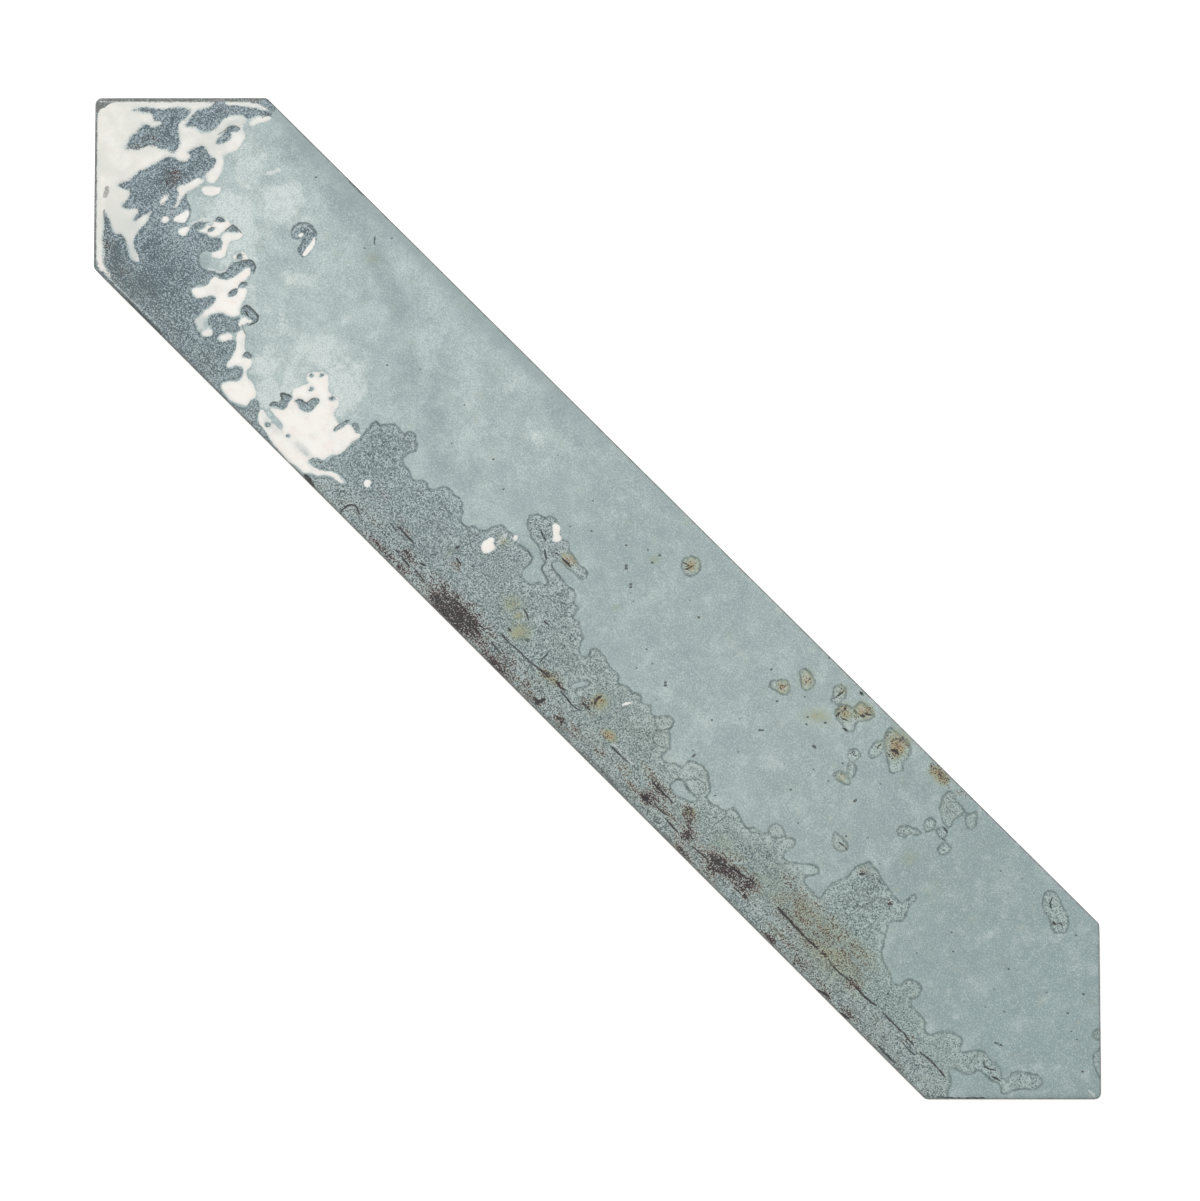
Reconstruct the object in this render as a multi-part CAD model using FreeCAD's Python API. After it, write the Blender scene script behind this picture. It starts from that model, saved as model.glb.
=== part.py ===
import FreeCAD, Part
import math
import os

# Glazed ceramic picket tile: one pressed and fired piece, a long hexagon with a
# right-angled point at each end. Millimetres. The long way of the tile is X, the
# width is Y, and the glazed face looks up. The origin is the middle of the back.

# Outline of the tile in plan
TILE_WIDTH = 65.0          # between the two long edges
TILE_LENGTH = 377.0        # from point to point, before the points are rounded
POINT_ANGLE = 90.0         # full angle of each point, in degrees
CORNER_RADIUS = 1.7        # at all six corners

# Section through the edge of the tile
TILE_THICKNESS = 9.0       # from the back to the mean level of the glazed face
TAPER_HEIGHT = 4.5         # the wall leans in below this height, as the die leaves it
TAPER_INSET = 0.45         # how far the wall has leaned in at the back
BACK_CHAMFER = 0.5         # small bevel round the back
PILLOW_WIDTH = 7.0         # band round the face that falls away to the edge
PILLOW_FALL = 0.95         # how far that band falls
GLAZED_EDGE_RADIUS = 1.3   # the glaze rolls over from the band to the wall

# Undulation of the glazed face: amplitude, wavelength, heading in degrees, phase in degrees
FACE_WAVES = (
    (0.150, 96.0, 14.0, 40.0),
    (0.105, 58.0, -38.0, 115.0),
    (0.080, 39.0, 64.0, 205.0),
    (0.062, 28.0, 22.0, 320.0),
    (0.046, 22.0, -61.0, 75.0),
)
WAVE_SAMPLE = 4.5          # spacing of the points that the face is drawn through
FACE_CLEARANCE = 0.03      # least depth of the face under the top of the pressed blank
FLATNESS = 0.0001          # a face this flat is a plane

# Keying grooves pressed into the back, on both sides of a middle land
GROOVE_PITCH = 8.4
GROOVE_WIDTH = 4.6         # at the mouth
GROOVE_DEPTH = 0.9
GROOVE_DRAFT = 0.7         # how far each wall of a groove leans in over its depth
GROOVE_BORDER = 7.0        # plain margin left round the grooved field

NODE_NAME = "picket_tile"


def wave_reach():
    """The most that the face can rise over its mean level."""
    return sum(amplitude for amplitude, wavelength, heading, phase in FACE_WAVES)


def outline_corners(inset):
    """The six corners of the long hexagon, moved in by inset all round."""
    half_point = math.radians(POINT_ANGLE / 2.0)
    half_width = TILE_WIDTH / 2.0 - inset
    tip = TILE_LENGTH / 2.0 - inset / math.sin(half_point)
    shoulder = tip - half_width / math.tan(half_point)
    return [
        (tip, 0.0),
        (shoulder, half_width),
        (-shoulder, half_width),
        (-tip, 0.0),
        (-shoulder, -half_width),
        (shoulder, -half_width),
    ]


def rounded_outline(inset, height):
    """Closed wire of the hexagon at a height, with an arc at each corner."""
    corners = [FreeCAD.Vector(x, y, height) for x, y in outline_corners(inset)]
    starts, middles, ends = [], [], []
    for i, corner in enumerate(corners):
        to_last = (corners[i - 1] - corner).normalize()
        to_next = (corners[(i + 1) % len(corners)] - corner).normalize()
        half_angle = to_last.getAngle(to_next) / 2.0
        bisector = (to_last + to_next).normalize()
        reach = CORNER_RADIUS / math.tan(half_angle)
        starts.append(corner + to_last * reach)
        ends.append(corner + to_next * reach)
        middles.append(corner + bisector * (CORNER_RADIUS / math.sin(half_angle) - CORNER_RADIUS))
    edges = []
    for i, start in enumerate(starts):
        edges.append(Part.Arc(start, middles[i], ends[i]).toShape())
        edges.append(Part.LineSegment(ends[i], starts[(i + 1) % len(starts)]).toShape())
    return Part.Wire(edges)


def with_true_planes(body):
    """The same solid, with each flat face of the loft held as a plane."""
    faces = []
    for face in body.Faces:
        plane = face.findPlane(FLATNESS)
        faces.append(Part.Face(plane, face.OuterWire) if plane else face)
    shell = Part.Shell(faces)
    shell.sewShape()
    return Part.Solid(shell)


def blank():
    """The pressed body: walls that lean in to the back, and a flat top inside a sloping band."""
    top = TILE_THICKNESS + wave_reach() + FACE_CLEARANCE
    rim = top - PILLOW_FALL
    body = Part.makeLoft(
        [
            rounded_outline(TAPER_INSET, 0.0),
            rounded_outline(0.0, TAPER_HEIGHT),
            rounded_outline(0.0, rim),
            rounded_outline(PILLOW_WIDTH, top),
        ],
        True,
        True,
    )
    body = with_true_planes(body)
    rim_edges = [e for e in body.Edges if abs(e.BoundBox.ZMin - rim) < 0.01 and abs(e.BoundBox.ZMax - rim) < 0.01]
    body = body.makeFillet(GLAZED_EDGE_RADIUS, rim_edges)
    foot_edges = [e for e in body.Edges if e.BoundBox.ZMax < 0.01]
    return body.makeChamfer(BACK_CHAMFER, foot_edges)


def face_height(x, y):
    """Height of the glazed face over the back at a point in plan."""
    height = TILE_THICKNESS
    for amplitude, wavelength, heading, phase in FACE_WAVES:
        along = x * math.cos(math.radians(heading)) + y * math.sin(math.radians(heading))
        height += amplitude * math.cos(2.0 * math.pi * along / wavelength + math.radians(phase))
    return height


def evenly_spaced(reach, spacing):
    """Values from -reach to reach, no further apart than the spacing."""
    steps = math.ceil(2.0 * reach / spacing)
    return [-reach + 2.0 * reach * i / steps for i in range(steps + 1)]


def space_over_face():
    """Solid that fills the space over the undulating face."""
    rows = [
        [
            FreeCAD.Vector(x, y, face_height(x, y))
            for y in evenly_spaced(TILE_WIDTH / 2.0 + WAVE_SAMPLE, WAVE_SAMPLE)
        ]
        for x in evenly_spaced(TILE_LENGTH / 2.0 + WAVE_SAMPLE, WAVE_SAMPLE)
    ]
    surface = Part.BSplineSurface()
    surface.interpolate(rows)
    return surface.toShape().extrude(FreeCAD.Vector(0.0, 0.0, TILE_THICKNESS))


def groove_centres():
    """Distances of the grooves from the middle line, as many as the plain border leaves room for."""
    room = TILE_WIDTH / 2.0 - GROOVE_BORDER - GROOVE_WIDTH / 2.0
    on_one_side = [GROOVE_PITCH * (i + 0.5) for i in range(int(room / GROOVE_PITCH + 0.5))]
    return [-centre for centre in on_one_side] + on_one_side


def keying_groove(centre, field):
    """One tapered groove along the back, cut off where the plain border begins."""
    half_mouth = GROOVE_WIDTH / 2.0
    section = [
        FreeCAD.Vector(-TILE_LENGTH / 2.0, centre + side * (half_mouth - level * GROOVE_DRAFT), level * GROOVE_DEPTH)
        for side, level in ((-1, -1), (-1, 1), (1, 1), (1, -1))
    ]
    profile = Part.Face(Part.makePolygon(section + section[:1]))
    return profile.extrude(FreeCAD.Vector(TILE_LENGTH, 0.0, 0.0)).common(field)


def picket_tile():
    """The whole tile as one solid."""
    tile = blank().cut(space_over_face())
    field = Part.Face(rounded_outline(GROOVE_BORDER, -GROOVE_DEPTH))
    field = field.extrude(FreeCAD.Vector(0.0, 0.0, 2.0 * GROOVE_DEPTH))
    for centre in groove_centres():
        tile = tile.cut(keying_groove(centre, field))
    return tile


os.makedirs("parts", exist_ok=True)
part = picket_tile()
part.exportStep(os.path.join("parts", NODE_NAME + ".step"))
print(
    NODE_NAME,
    "valid", part.isValid(),
    "solids", len(part.Solids),
    "faces", len(part.Faces),
    "volume cm3", round(part.Volume / 1000.0, 2),
)
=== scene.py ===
import math

import bmesh
import bpy
import numpy as np
from mathutils import Matrix


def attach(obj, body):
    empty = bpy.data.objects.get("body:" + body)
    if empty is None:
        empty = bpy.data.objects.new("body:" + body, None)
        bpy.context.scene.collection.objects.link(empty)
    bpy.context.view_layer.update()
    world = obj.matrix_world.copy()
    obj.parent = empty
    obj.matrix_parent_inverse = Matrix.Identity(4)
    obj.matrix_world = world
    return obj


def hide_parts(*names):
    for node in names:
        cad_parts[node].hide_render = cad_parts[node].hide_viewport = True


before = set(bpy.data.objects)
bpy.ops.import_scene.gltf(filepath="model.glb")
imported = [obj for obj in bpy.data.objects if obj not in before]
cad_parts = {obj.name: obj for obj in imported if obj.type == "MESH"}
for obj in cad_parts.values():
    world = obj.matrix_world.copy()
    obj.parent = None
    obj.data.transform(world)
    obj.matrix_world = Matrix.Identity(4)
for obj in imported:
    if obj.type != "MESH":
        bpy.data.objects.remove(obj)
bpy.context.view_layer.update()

# Camera: above the tile with a slight lean, its long way running from top left to bottom right
cameraSetup = {
    "photoWidth": 1200,                  # pixels of the picture that the shapes are picked on
    "photoHeight": 1201,
    "aim": (0.00261, 0.00000, 0.0072),   # metres, on the tile
    "distance": 1.2012,
    "leanLong": 3.84,                    # degrees, towards the far point
    "leanWide": -3.58,
    "lens": 136.0,
    "sensor": 36.0,
    "nearest": 0.05,                     # what is nearer or further than this isn't drawn
    "furthest": 50.0,
}


def cameraFrame():
    leanLong = math.tan(math.radians(cameraSetup["leanLong"]))
    leanWide = math.tan(math.radians(cameraSetup["leanWide"]))
    forward = np.array([-leanLong, -leanWide, -1.0])
    forward /= np.linalg.norm(forward)
    place = np.array(cameraSetup["aim"]) - forward * cameraSetup["distance"]
    right = np.cross(forward, np.array([-1.0, 1.0, 0.0]))
    right /= np.linalg.norm(right)
    return place, right, np.cross(right, forward), forward


# The tile, in millimetres: the long way is X, the width is Y and the glazed face looks up
tile = {
    "length": 377.0,
    "width": 65.0,
    "cornerRadius": 1.7,
    "thickness": 9.0,
    "cellsAcross": 120,          # the face has square cells, 0.54 mm each
    "topPlane": 9.473,           # the pressed face, before the band round it falls away
    "pillowWidth": 7.0,
    "pillowFall": 0.95,
    "pillowBlend": 0.5,
    "rollRadius": 1.3,           # the glaze rolls over from the face to the wall
    "rollReach": 2.7,            # how much of the even grid is drawn into the roll
    "rollSettle": 9.0,           # and where the grid is even again
    "wallRowGap": 0.9,           # rows of the wall stand this far from the roll and from the taper
    "taperHeight": 4.5,
    "taperMiddle": 2.4,
    "taperInset": 0.45,
    "footChamfer": 0.5,
    "grooveCentres": (-21.0, -12.6, -4.2, 4.2, 12.6, 21.0),
    "grooveWidth": 4.6,
    "grooveDepth": 0.9,
    "grooveDraft": 0.7,
    "grooveBorder": 7.0,
}
metre = 1000.0                   # in millimetres
quarters = ((-1, -1), (-1, 1), (1, -1), (1, 1))
cutSlack = 0.001                 # a vertex this near to a cut counts as on it
tiny = 1e-9
clayIndex = 1                    # the back's place in the piece's list of materials

# Slow undulation of the face: amplitude and wavelength in millimetres, heading and phase in degrees
faceWaves = (
    (0.150, 96.0, 14.0, 40.0),
    (0.105, 58.0, -38.0, 115.0),
    (0.080, 39.0, 64.0, 205.0),
    (0.062, 28.0, 22.0, 320.0),
    (0.046, 22.0, -61.0, 75.0),
)

# Relief of the glazes on the face, in millimetres
relief = {
    "paleRise": 0.12,            # the pale glaze lies this much over the stippled one
    "paleShare": 0.6,            # and this share of it lies under the mean level of the face
    "paleSlope": 0.60,
    "paleBead": 0.02,            # its edge swells a little
    "paleBeadPlace": 0.9,
    "paleBeadWidth": 0.6,
    "creamRise": 0.04,
    "creamSlope": (-0.5, 0.8),   # where a slope starts and ends, from outside a mark's edge to inside it
    "beadRise": 0.10,
    "beadSlope": (-0.4, 0.8),
    "strokeDip": 0.05,           # the glaze parts over a drawn line
    "strokeReach": 0.4,
    "pinholeDip": 0.16,
    "pinholeSlope": (-0.2, 0.4),
}


def edgeDistances(x, y):
    # how far a place is inside the long edge beside it, and inside the slanted edge beside it
    side = tile["width"] / 2 - np.abs(y)
    point = (tile["length"] / 2 - np.abs(x) - np.abs(y)) / math.sqrt(2)
    return side, point


def drawnIn(distance):
    # the outer rows of the even grid are gathered into the rolled edge
    reach = tile["rollReach"]
    roll = tile["rollRadius"]
    settle = tile["rollSettle"]
    turn = np.clip(distance / reach, 0, 1) * math.pi / 2
    inRoll = roll * (1 - np.cos(turn))
    onFace = roll + (distance - reach) * (settle - roll) / (settle - reach)
    return np.where(distance < reach, inRoll, np.where(distance < settle, onFace, distance))


def cornerCentres():
    # middles of the corner arcs at the shoulder and at the tip, in one quarter of the tile
    radius = tile["cornerRadius"]
    half = tile["width"] / 2
    tipX = tile["length"] / 2 - radius * math.sqrt(2)
    return (tipX - (half - radius), half - radius), (tipX, 0.0)


def shapedOutline(x, y):
    # gathers the rim rows, then rounds the six corners without leaving the outline's own distances
    side, point = edgeDistances(x, y)
    signX = np.where(x < 0, -1.0, 1.0)
    signY = np.where(y < 0, -1.0, 1.0)
    absY = tile["width"] / 2 - drawnIn(side)
    slide = absY - np.abs(y)
    hold = 1 - smoothStep(point, tile["rollReach"], tile["rollSettle"] * 1.5)
    absX = np.abs(x) - hold * slide + (point - drawnIn(point)) * math.sqrt(2)
    return roundedCorners(np.maximum(absX, 0), absY, signX, signY)


def roundedCorners(absX, absY, signX, signY):
    slant = np.array([1.0, 1.0]) / math.sqrt(2)
    shoulder, tip = cornerCentres()
    corners = (
        (shoulder, np.array([0.0, 1.0]), slant),
        (tip, slant, slant * (1, -1)),
    )
    for (centreX, centreY), first, second in corners:
        px = absX - centreX
        py = absY - centreY
        alongFirst = px * first[0] + py * first[1]
        alongSecond = px * second[0] + py * second[1]
        length = np.hypot(px, py)
        cross = first[0] * second[1] - first[1] * second[0]
        pastFirst = (first[0] * py - first[1] * px) * cross >= -tiny
        pastSecond = (second[0] * py - second[1] * px) * -cross >= -tiny
        inCone = pastFirst & pastSecond & (length > tiny)
        scale = np.where(inCone, np.maximum(alongFirst, alongSecond) / np.maximum(length, tiny), 1.0)
        absX = centreX + px * scale
        absY = centreY + py * scale
    return absX * signX, absY * signY


def outwardNormal(x, y):
    # plan direction out of the tile at a place on its rounded outline
    absX = abs(x)
    absY = abs(y)
    (shoulderX, shoulderY), (tipX, tipY) = cornerCentres()
    if absX <= shoulderX:
        way = (0.0, 1.0)
    elif math.atan2(absY - shoulderY, absX - shoulderX) > math.pi / 4:
        way = (absX - shoulderX, absY - shoulderY)
    elif absX - tipX > absY:
        way = (absX - tipX, absY - tipY)
    else:
        way = (1.0, 1.0)
    size = math.hypot(*way)
    return math.copysign(way[0] / size, x), math.copysign(way[1] / size, y)


def faceHeight(x, y):
    height = np.full_like(x, tile["thickness"])
    for amplitude, wavelength, heading, phase in faceWaves:
        along = x * math.cos(math.radians(heading)) + y * math.sin(math.radians(heading))
        height += amplitude * np.cos(2 * math.pi * along / wavelength + math.radians(phase))
    return height


def softLeast(a, b, blend):
    mix = np.clip(0.5 + 0.5 * (b - a) / blend, 0, 1)
    return b * (1 - mix) + a * mix - blend * mix * (1 - mix)


def smoothStep(value, low, high):
    t = np.clip((value - low) / (high - low), 0, 1)
    return t * t * (3 - 2 * t)


# How the marks of the glazes are worked out, in millimetres
marking = {
    "reach": 4.0,                # distances to a mark are kept up to this far from it
    "loopSteps": 2,              # short lines between two picked points of a shape
    "strokeSteps": 3,            # and of a stroke
    "stainFade": 0.8,            # how fast a soft stain fades
    "glazeBlend": 0.3,           # tones change over this much on both sides of a glaze's edge
    "rimBlend": 4.0,             # how round the rim's lines turn the corners of the near point
    "nearPointBlend": 1.5,       # how fast the near point's rim gives way to the long edges' own
    "wallIron": 0.6,             # how much of the rim's iron runs on down the wall
}


def onTile(points):
    # points given on the picture, carried to millimetres on the face of the tile
    place, right, up, forward = cameraFrame()
    points = np.array(points, dtype=float)
    pixel = cameraSetup["sensor"] / cameraSetup["photoWidth"] / cameraSetup["lens"]
    across = (points[:, 0] - cameraSetup["photoWidth"] / 2) * pixel
    down = (points[:, 1] - cameraSetup["photoHeight"] / 2) * pixel
    rays = forward + across[:, None] * right - down[:, None] * up
    reach = (tile["thickness"] / metre - place[2]) / rays[:, 2]
    return (place + rays * reach[:, None])[:, :2] * metre


def pixelSize():
    # one pixel of the picture in millimetres, in the middle of the tile
    middle, beside = onTile([(600, 600), (601, 600)])
    return np.linalg.norm(beside - middle)


def smoothLoop(points, closed, steps):
    # a round line through given points
    points = np.array(points, dtype=float)
    if closed:
        before = np.roll(points, 1, axis=0)
        after = np.roll(points, -1, axis=0)
        beyond = np.roll(points, -2, axis=0)
    else:
        before = np.vstack([points[:1], points[:-2]])
        after = points[1:]
        beyond = np.vstack([points[2:], points[-1:]])
        last = points[-1:]
        points = points[:-1]
    rows = []
    for step in range(steps):
        t = step / steps
        rows.append(0.5 * (2 * points + (after - before) * t
                    + (2 * before - 5 * points + 4 * after - beyond) * t * t
                    + (3 * points - before - 3 * after + beyond) * t * t * t))
    line = np.stack(rows, axis=1).reshape(-1, 2)
    return line if closed else np.vstack([line, last])


def lineDistance(places, line):
    # distance in millimetres from each place to a loop, positive inside it
    least = np.full(len(places), np.inf)
    inside = np.zeros(len(places), dtype=bool)
    for start, end in zip(line, np.roll(line, -1, axis=0)):
        run = end - start
        offset = places - start
        along = np.clip((offset @ run) / max(run @ run, tiny), 0, 1)
        gap = offset - along[:, None] * run
        least = np.minimum(least, (gap * gap).sum(axis=1))
        crosses = (start[1] > places[:, 1]) != (end[1] > places[:, 1])
        where = start[0] + run[0] * (places[:, 1] - start[1]) / (run[1] if run[1] else tiny)
        inside ^= crosses & (places[:, 0] < where)
    least = np.sqrt(least)
    return np.where(inside, least, -least)


def shapeDistance(places, shapes):
    # signed distance to the union of many shapes, positive inside
    result = np.full(len(places), -marking["reach"])
    for shape in shapes:
        line = onTile(smoothLoop(shape, True, marking["loopSteps"]))
        near = closeTo(places, line)
        if near.any():
            result[near] = np.maximum(result[near], lineDistance(places[near], line))
    return result


def closeTo(places, line):
    low = line.min(axis=0) - marking["reach"]
    high = line.max(axis=0) + marking["reach"]
    return ((places > low) & (places < high)).all(axis=1)


def strokeDistances(places, strokes):
    # nearest stroke: the distance to it, the same with a sign for its side in half widths, and its tone
    least = np.full(len(places), marking["reach"])
    side = np.full(len(places), marking["reach"])
    tone = np.zeros(len(places))
    halfPixel = pixelSize() / 2
    for strokeTone, width, *points in strokes:
        line = onTile(smoothLoop(points, False, marking["strokeSteps"]))
        near = np.flatnonzero(closeTo(places, line))
        nearPlaces = places[near]
        for start, end in zip(line[:-1], line[1:]):
            run = end - start
            offset = nearPlaces - start
            along = np.clip((offset @ run) / max(run @ run, tiny), 0, 1)
            gap = np.linalg.norm(offset - along[:, None] * run, axis=1)
            nearer = gap < least[near]
            chosen = near[nearer]
            turn = run[0] * offset[nearer, 1] - run[1] * offset[nearer, 0]
            least[chosen] = gap[nearer]
            side[chosen] = gap[nearer] * np.where(turn < 0, -1, 1) / (width * halfPixel)
            tone[chosen] = strokeTone
    return least, np.clip(side, -marking["reach"], marking["reach"]), tone


def softMarks(places, marks):
    # the strongest of many soft oval stains at each place
    value = np.zeros(len(places))
    for x, y, halfLong, halfWide, turn, strength in marks:
        way = np.array([math.cos(math.radians(turn)), math.sin(math.radians(turn))])
        middle, long, wide = onTile([(x, y), (x + halfLong * way[0], y + halfLong * way[1]),
                                     (x - halfWide * way[1], y + halfWide * way[0])])
        long = (long - middle) / ((long - middle) @ (long - middle))
        wide = (wide - middle) / ((wide - middle) @ (wide - middle))
        offset = places - middle
        fall = (offset @ long) ** 2 + (offset @ wide) ** 2
        value = np.maximum(value, strength * np.exp(-marking["stainFade"] * fall))
    return value


def pinholeDistance(places, holes):
    # each hole sits on the nearest point of the mesh, so that it stays round
    value = np.full(len(places), -marking["reach"])
    pixel = pixelSize()
    for x, y, radius in holes:
        middle = onTile([(x, y)])[0]
        nearest = places[((places - middle) ** 2).sum(axis=1).argmin()]
        value = np.maximum(value, radius * pixel - np.linalg.norm(places - nearest, axis=1))
    return value


# Shapes in the glaze, given in pixels of the picture.
# The stippled glaze, from the near point along the low long edge:
stippleBody = (
    (60, 300), (60, 262), (103, 262), (103, 240), (104, 225), (104.5, 213), (107, 215), (110, 221),
    (112, 229), (115, 235), (119, 233.5), (124, 236), (126, 243), (128, 252), (131, 260), (140, 262),
    (136, 252), (134, 246), (134, 238), (137, 233), (141, 228), (147, 222), (150, 215), (152, 209),
    (146, 214), (140, 217.5), (133.5, 222.5), (135, 217), (138, 212), (137.5, 208.5), (133, 209), (124, 208),
    (123, 204), (128, 198), (130, 191), (126, 189), (118, 186), (122, 182), (130, 180), (136, 174),
    (141, 170), (149, 167), (156, 163), (163, 159), (171, 156), (178, 160), (186, 161), (190, 157),
    (188, 152), (193, 149), (200, 146), (205, 147), (207, 152), (212, 157), (216, 160), (214, 166),
    (209, 171), (203, 177), (196, 179), (198, 181), (193, 185), (191, 190), (186, 195), (187, 201),
    (190, 206), (191, 213), (189, 219), (186, 223), (187, 226), (180, 228), (177, 232), (182, 236),
    (187, 235), (190, 229), (191, 225), (196, 222), (203, 221), (205, 224), (203, 228), (196, 230),
    (200, 233), (206, 234), (210, 238), (220, 238), (222, 246), (216, 251), (211, 252), (204, 250),
    (200, 254), (199, 262), (203, 268), (207, 271), (214, 271), (215, 275), (211, 279), (207, 285),
    (200, 284), (192, 288), (191, 292), (194, 297), (199, 299), (207, 297), (214, 296), (215, 301),
    (210, 306), (204, 311), (198, 317), (194, 321), (197, 329), (201, 335), (207, 337), (213, 334),
    (212, 328), (207, 323), (211, 316), (220, 313), (226, 316), (233, 318), (240, 317), (238, 323),
    (240, 330), (236, 333), (231, 332), (224, 333), (218, 337), (219, 342), (224, 342), (231, 340),
    (235, 340), (236, 346), (233, 353), (230, 359), (226, 365), (229, 369), (236, 367), (242, 368),
    (243, 373), (240, 379), (233, 380), (225, 381), (220, 385), (222, 392), (228, 399), (236, 405),
    (246, 408), (250, 401), (256, 399), (260, 407), (258, 414), (257, 421), (263, 428), (270, 440),
    (280, 453), (292, 466), (303, 474), (312, 474), (318, 477), (325, 476), (331, 478), (338, 482),
    (345, 485), (347, 482), (342, 477), (338, 473), (331, 471), (322, 470), (314, 467), (309, 461),
    (314, 458), (320, 459), (327, 462), (331, 459), (334, 456), (341, 454), (346, 449), (351, 445),
    (357, 440), (361, 436), (366, 430), (371, 424), (376, 421), (381, 424), (387, 424), (393, 423),
    (398, 426), (402, 431), (405, 434), (408, 431), (412, 431), (416, 435), (416, 440), (418, 446),
    (416, 451), (410, 453), (404, 457), (403, 463), (408, 468), (411, 474), (412, 479), (418, 480),
    (424, 480), (428, 484), (428, 488), (434, 489), (440, 487), (445, 486), (450, 489), (455, 494),
    (460, 498), (463, 503), (462, 508), (464, 512), (462, 516), (461, 521), (464, 524), (468, 527),
    (472, 525), (477, 527), (480, 530), (486, 530), (492, 527), (498, 525), (503, 525), (506, 528),
    (509, 532), (514, 534), (518, 538), (517, 543), (522, 546), (528, 550), (533, 556), (532, 562),
    (527, 567), (523, 571), (522, 576), (526, 581), (531, 584), (537, 582), (541, 582), (546, 585),
    (546, 580), (544, 574), (541, 570), (542, 566), (545, 563), (541, 558), (540, 553), (539, 547),
    (535, 543), (531, 538), (529, 531), (527, 524), (528, 518), (532, 515), (538, 514), (545, 517),
    (551, 516), (556, 519), (559, 524), (561, 532), (563, 539), (567, 540), (570, 545), (570, 551),
    (574, 556), (578, 563), (583, 567), (588, 571), (587, 577), (583, 580), (578, 578), (574, 573),
    (568, 569), (563, 564), (558, 561), (552, 564), (554, 569), (560, 577), (565, 582), (568, 586),
    (573, 589), (576, 594), (575, 599), (574, 602), (578, 607), (577, 612), (573, 616), (574, 619),
    (579, 621), (581, 627), (582, 633), (584, 638), (581, 643), (580, 648), (581, 653), (584, 657),
    (588, 656), (590, 651), (594, 648), (599, 650), (604, 655), (607, 661), (611, 667), (616, 672),
    (620, 677), (618, 681), (620, 685), (626, 685), (630, 689), (633, 692), (639, 693), (642, 698),
    (641, 702), (647, 704), (652, 706), (651, 712), (655, 716), (660, 716), (666, 715), (671, 717),
    (675, 721), (672, 727), (669, 731), (671, 737), (670, 743), (671, 748), (666, 752), (662, 757),
    (668, 763), (675, 763), (682, 767), (685, 763), (690, 760), (696, 762), (703, 766), (708, 772),
    (709, 780), (711, 786), (710, 792), (707, 798), (712, 803), (718, 806), (722, 809), (726, 811),
    (729, 808), (733, 807), (737, 812), (741, 818), (744, 824), (748, 828), (753, 826), (757, 829),
    (760, 832), (767, 833), (768, 829), (771, 825), (777, 823), (783, 827), (785, 832), (787, 837),
    (793, 838), (796, 842), (794, 847), (789, 850), (785, 853), (784, 858), (788, 861), (794, 863),
    (802, 863), (809, 864), (815, 865), (819, 869), (819, 874), (814, 875), (809, 876), (804, 880),
    (806, 884), (811, 890), (816, 896), (820, 898), (823, 893), (827, 888), (832, 883), (838, 880),
    (844, 878), (849, 875), (852, 870), (858, 865), (864, 863), (869, 861), (874, 866), (879, 872),
    (882, 878), (886, 884), (890, 890), (893, 895), (897, 899), (903, 903), (909, 897), (914, 894),
    (917, 899), (911, 905), (908, 911), (905, 918), (901, 922), (896, 921), (890, 923), (888, 928),
    (886, 935), (884, 944), (882, 955), (886, 965), (891, 974), (893, 982), (899, 985), (904, 981),
    (910, 979), (917, 981), (922, 986), (921, 993), (917, 998), (911, 1000), (914, 1008), (920, 1014),
    (926, 1022), (925, 1029), (929, 1034), (935, 1033), (941, 1031), (949, 1031), (956, 1034), (962, 1038),
    (963, 1044), (960, 1050), (965, 1052), (972, 1050), (980, 1050), (986, 1053), (990, 1059), (997, 1064),
    (1001, 1071), (1003, 1078), (1006, 1080), (1010, 1074), (1017, 1071), (1025, 1072), (1033, 1073),
    (1040, 1076), (1043, 1081), (1040, 1087), (1033, 1090), (1024, 1089), (1014, 1091), (1006, 1094),
    (1001, 1093), (1001, 1088), (998, 1083), (991, 1081), (984, 1075), (978, 1070), (974, 1074), (967, 1075),
    (960, 1072), (953, 1068), (949, 1070), (951, 1078), (952, 1085), (948, 1092), (950, 1140), (900, 1140),
    (500, 740), (60, 330),
)
# openings where the pale glaze shows inside the stippled one
paleOpenings = (
    ((672, 783), (679, 780), (684, 783), (687, 790), (693, 796), (697, 800), (690, 801), (683, 798),
     (676, 794), (671, 789)),
    ((571, 685), (578, 682.5), (586, 681), (590, 683), (586, 686), (578, 688), (572, 689)),
)
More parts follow.
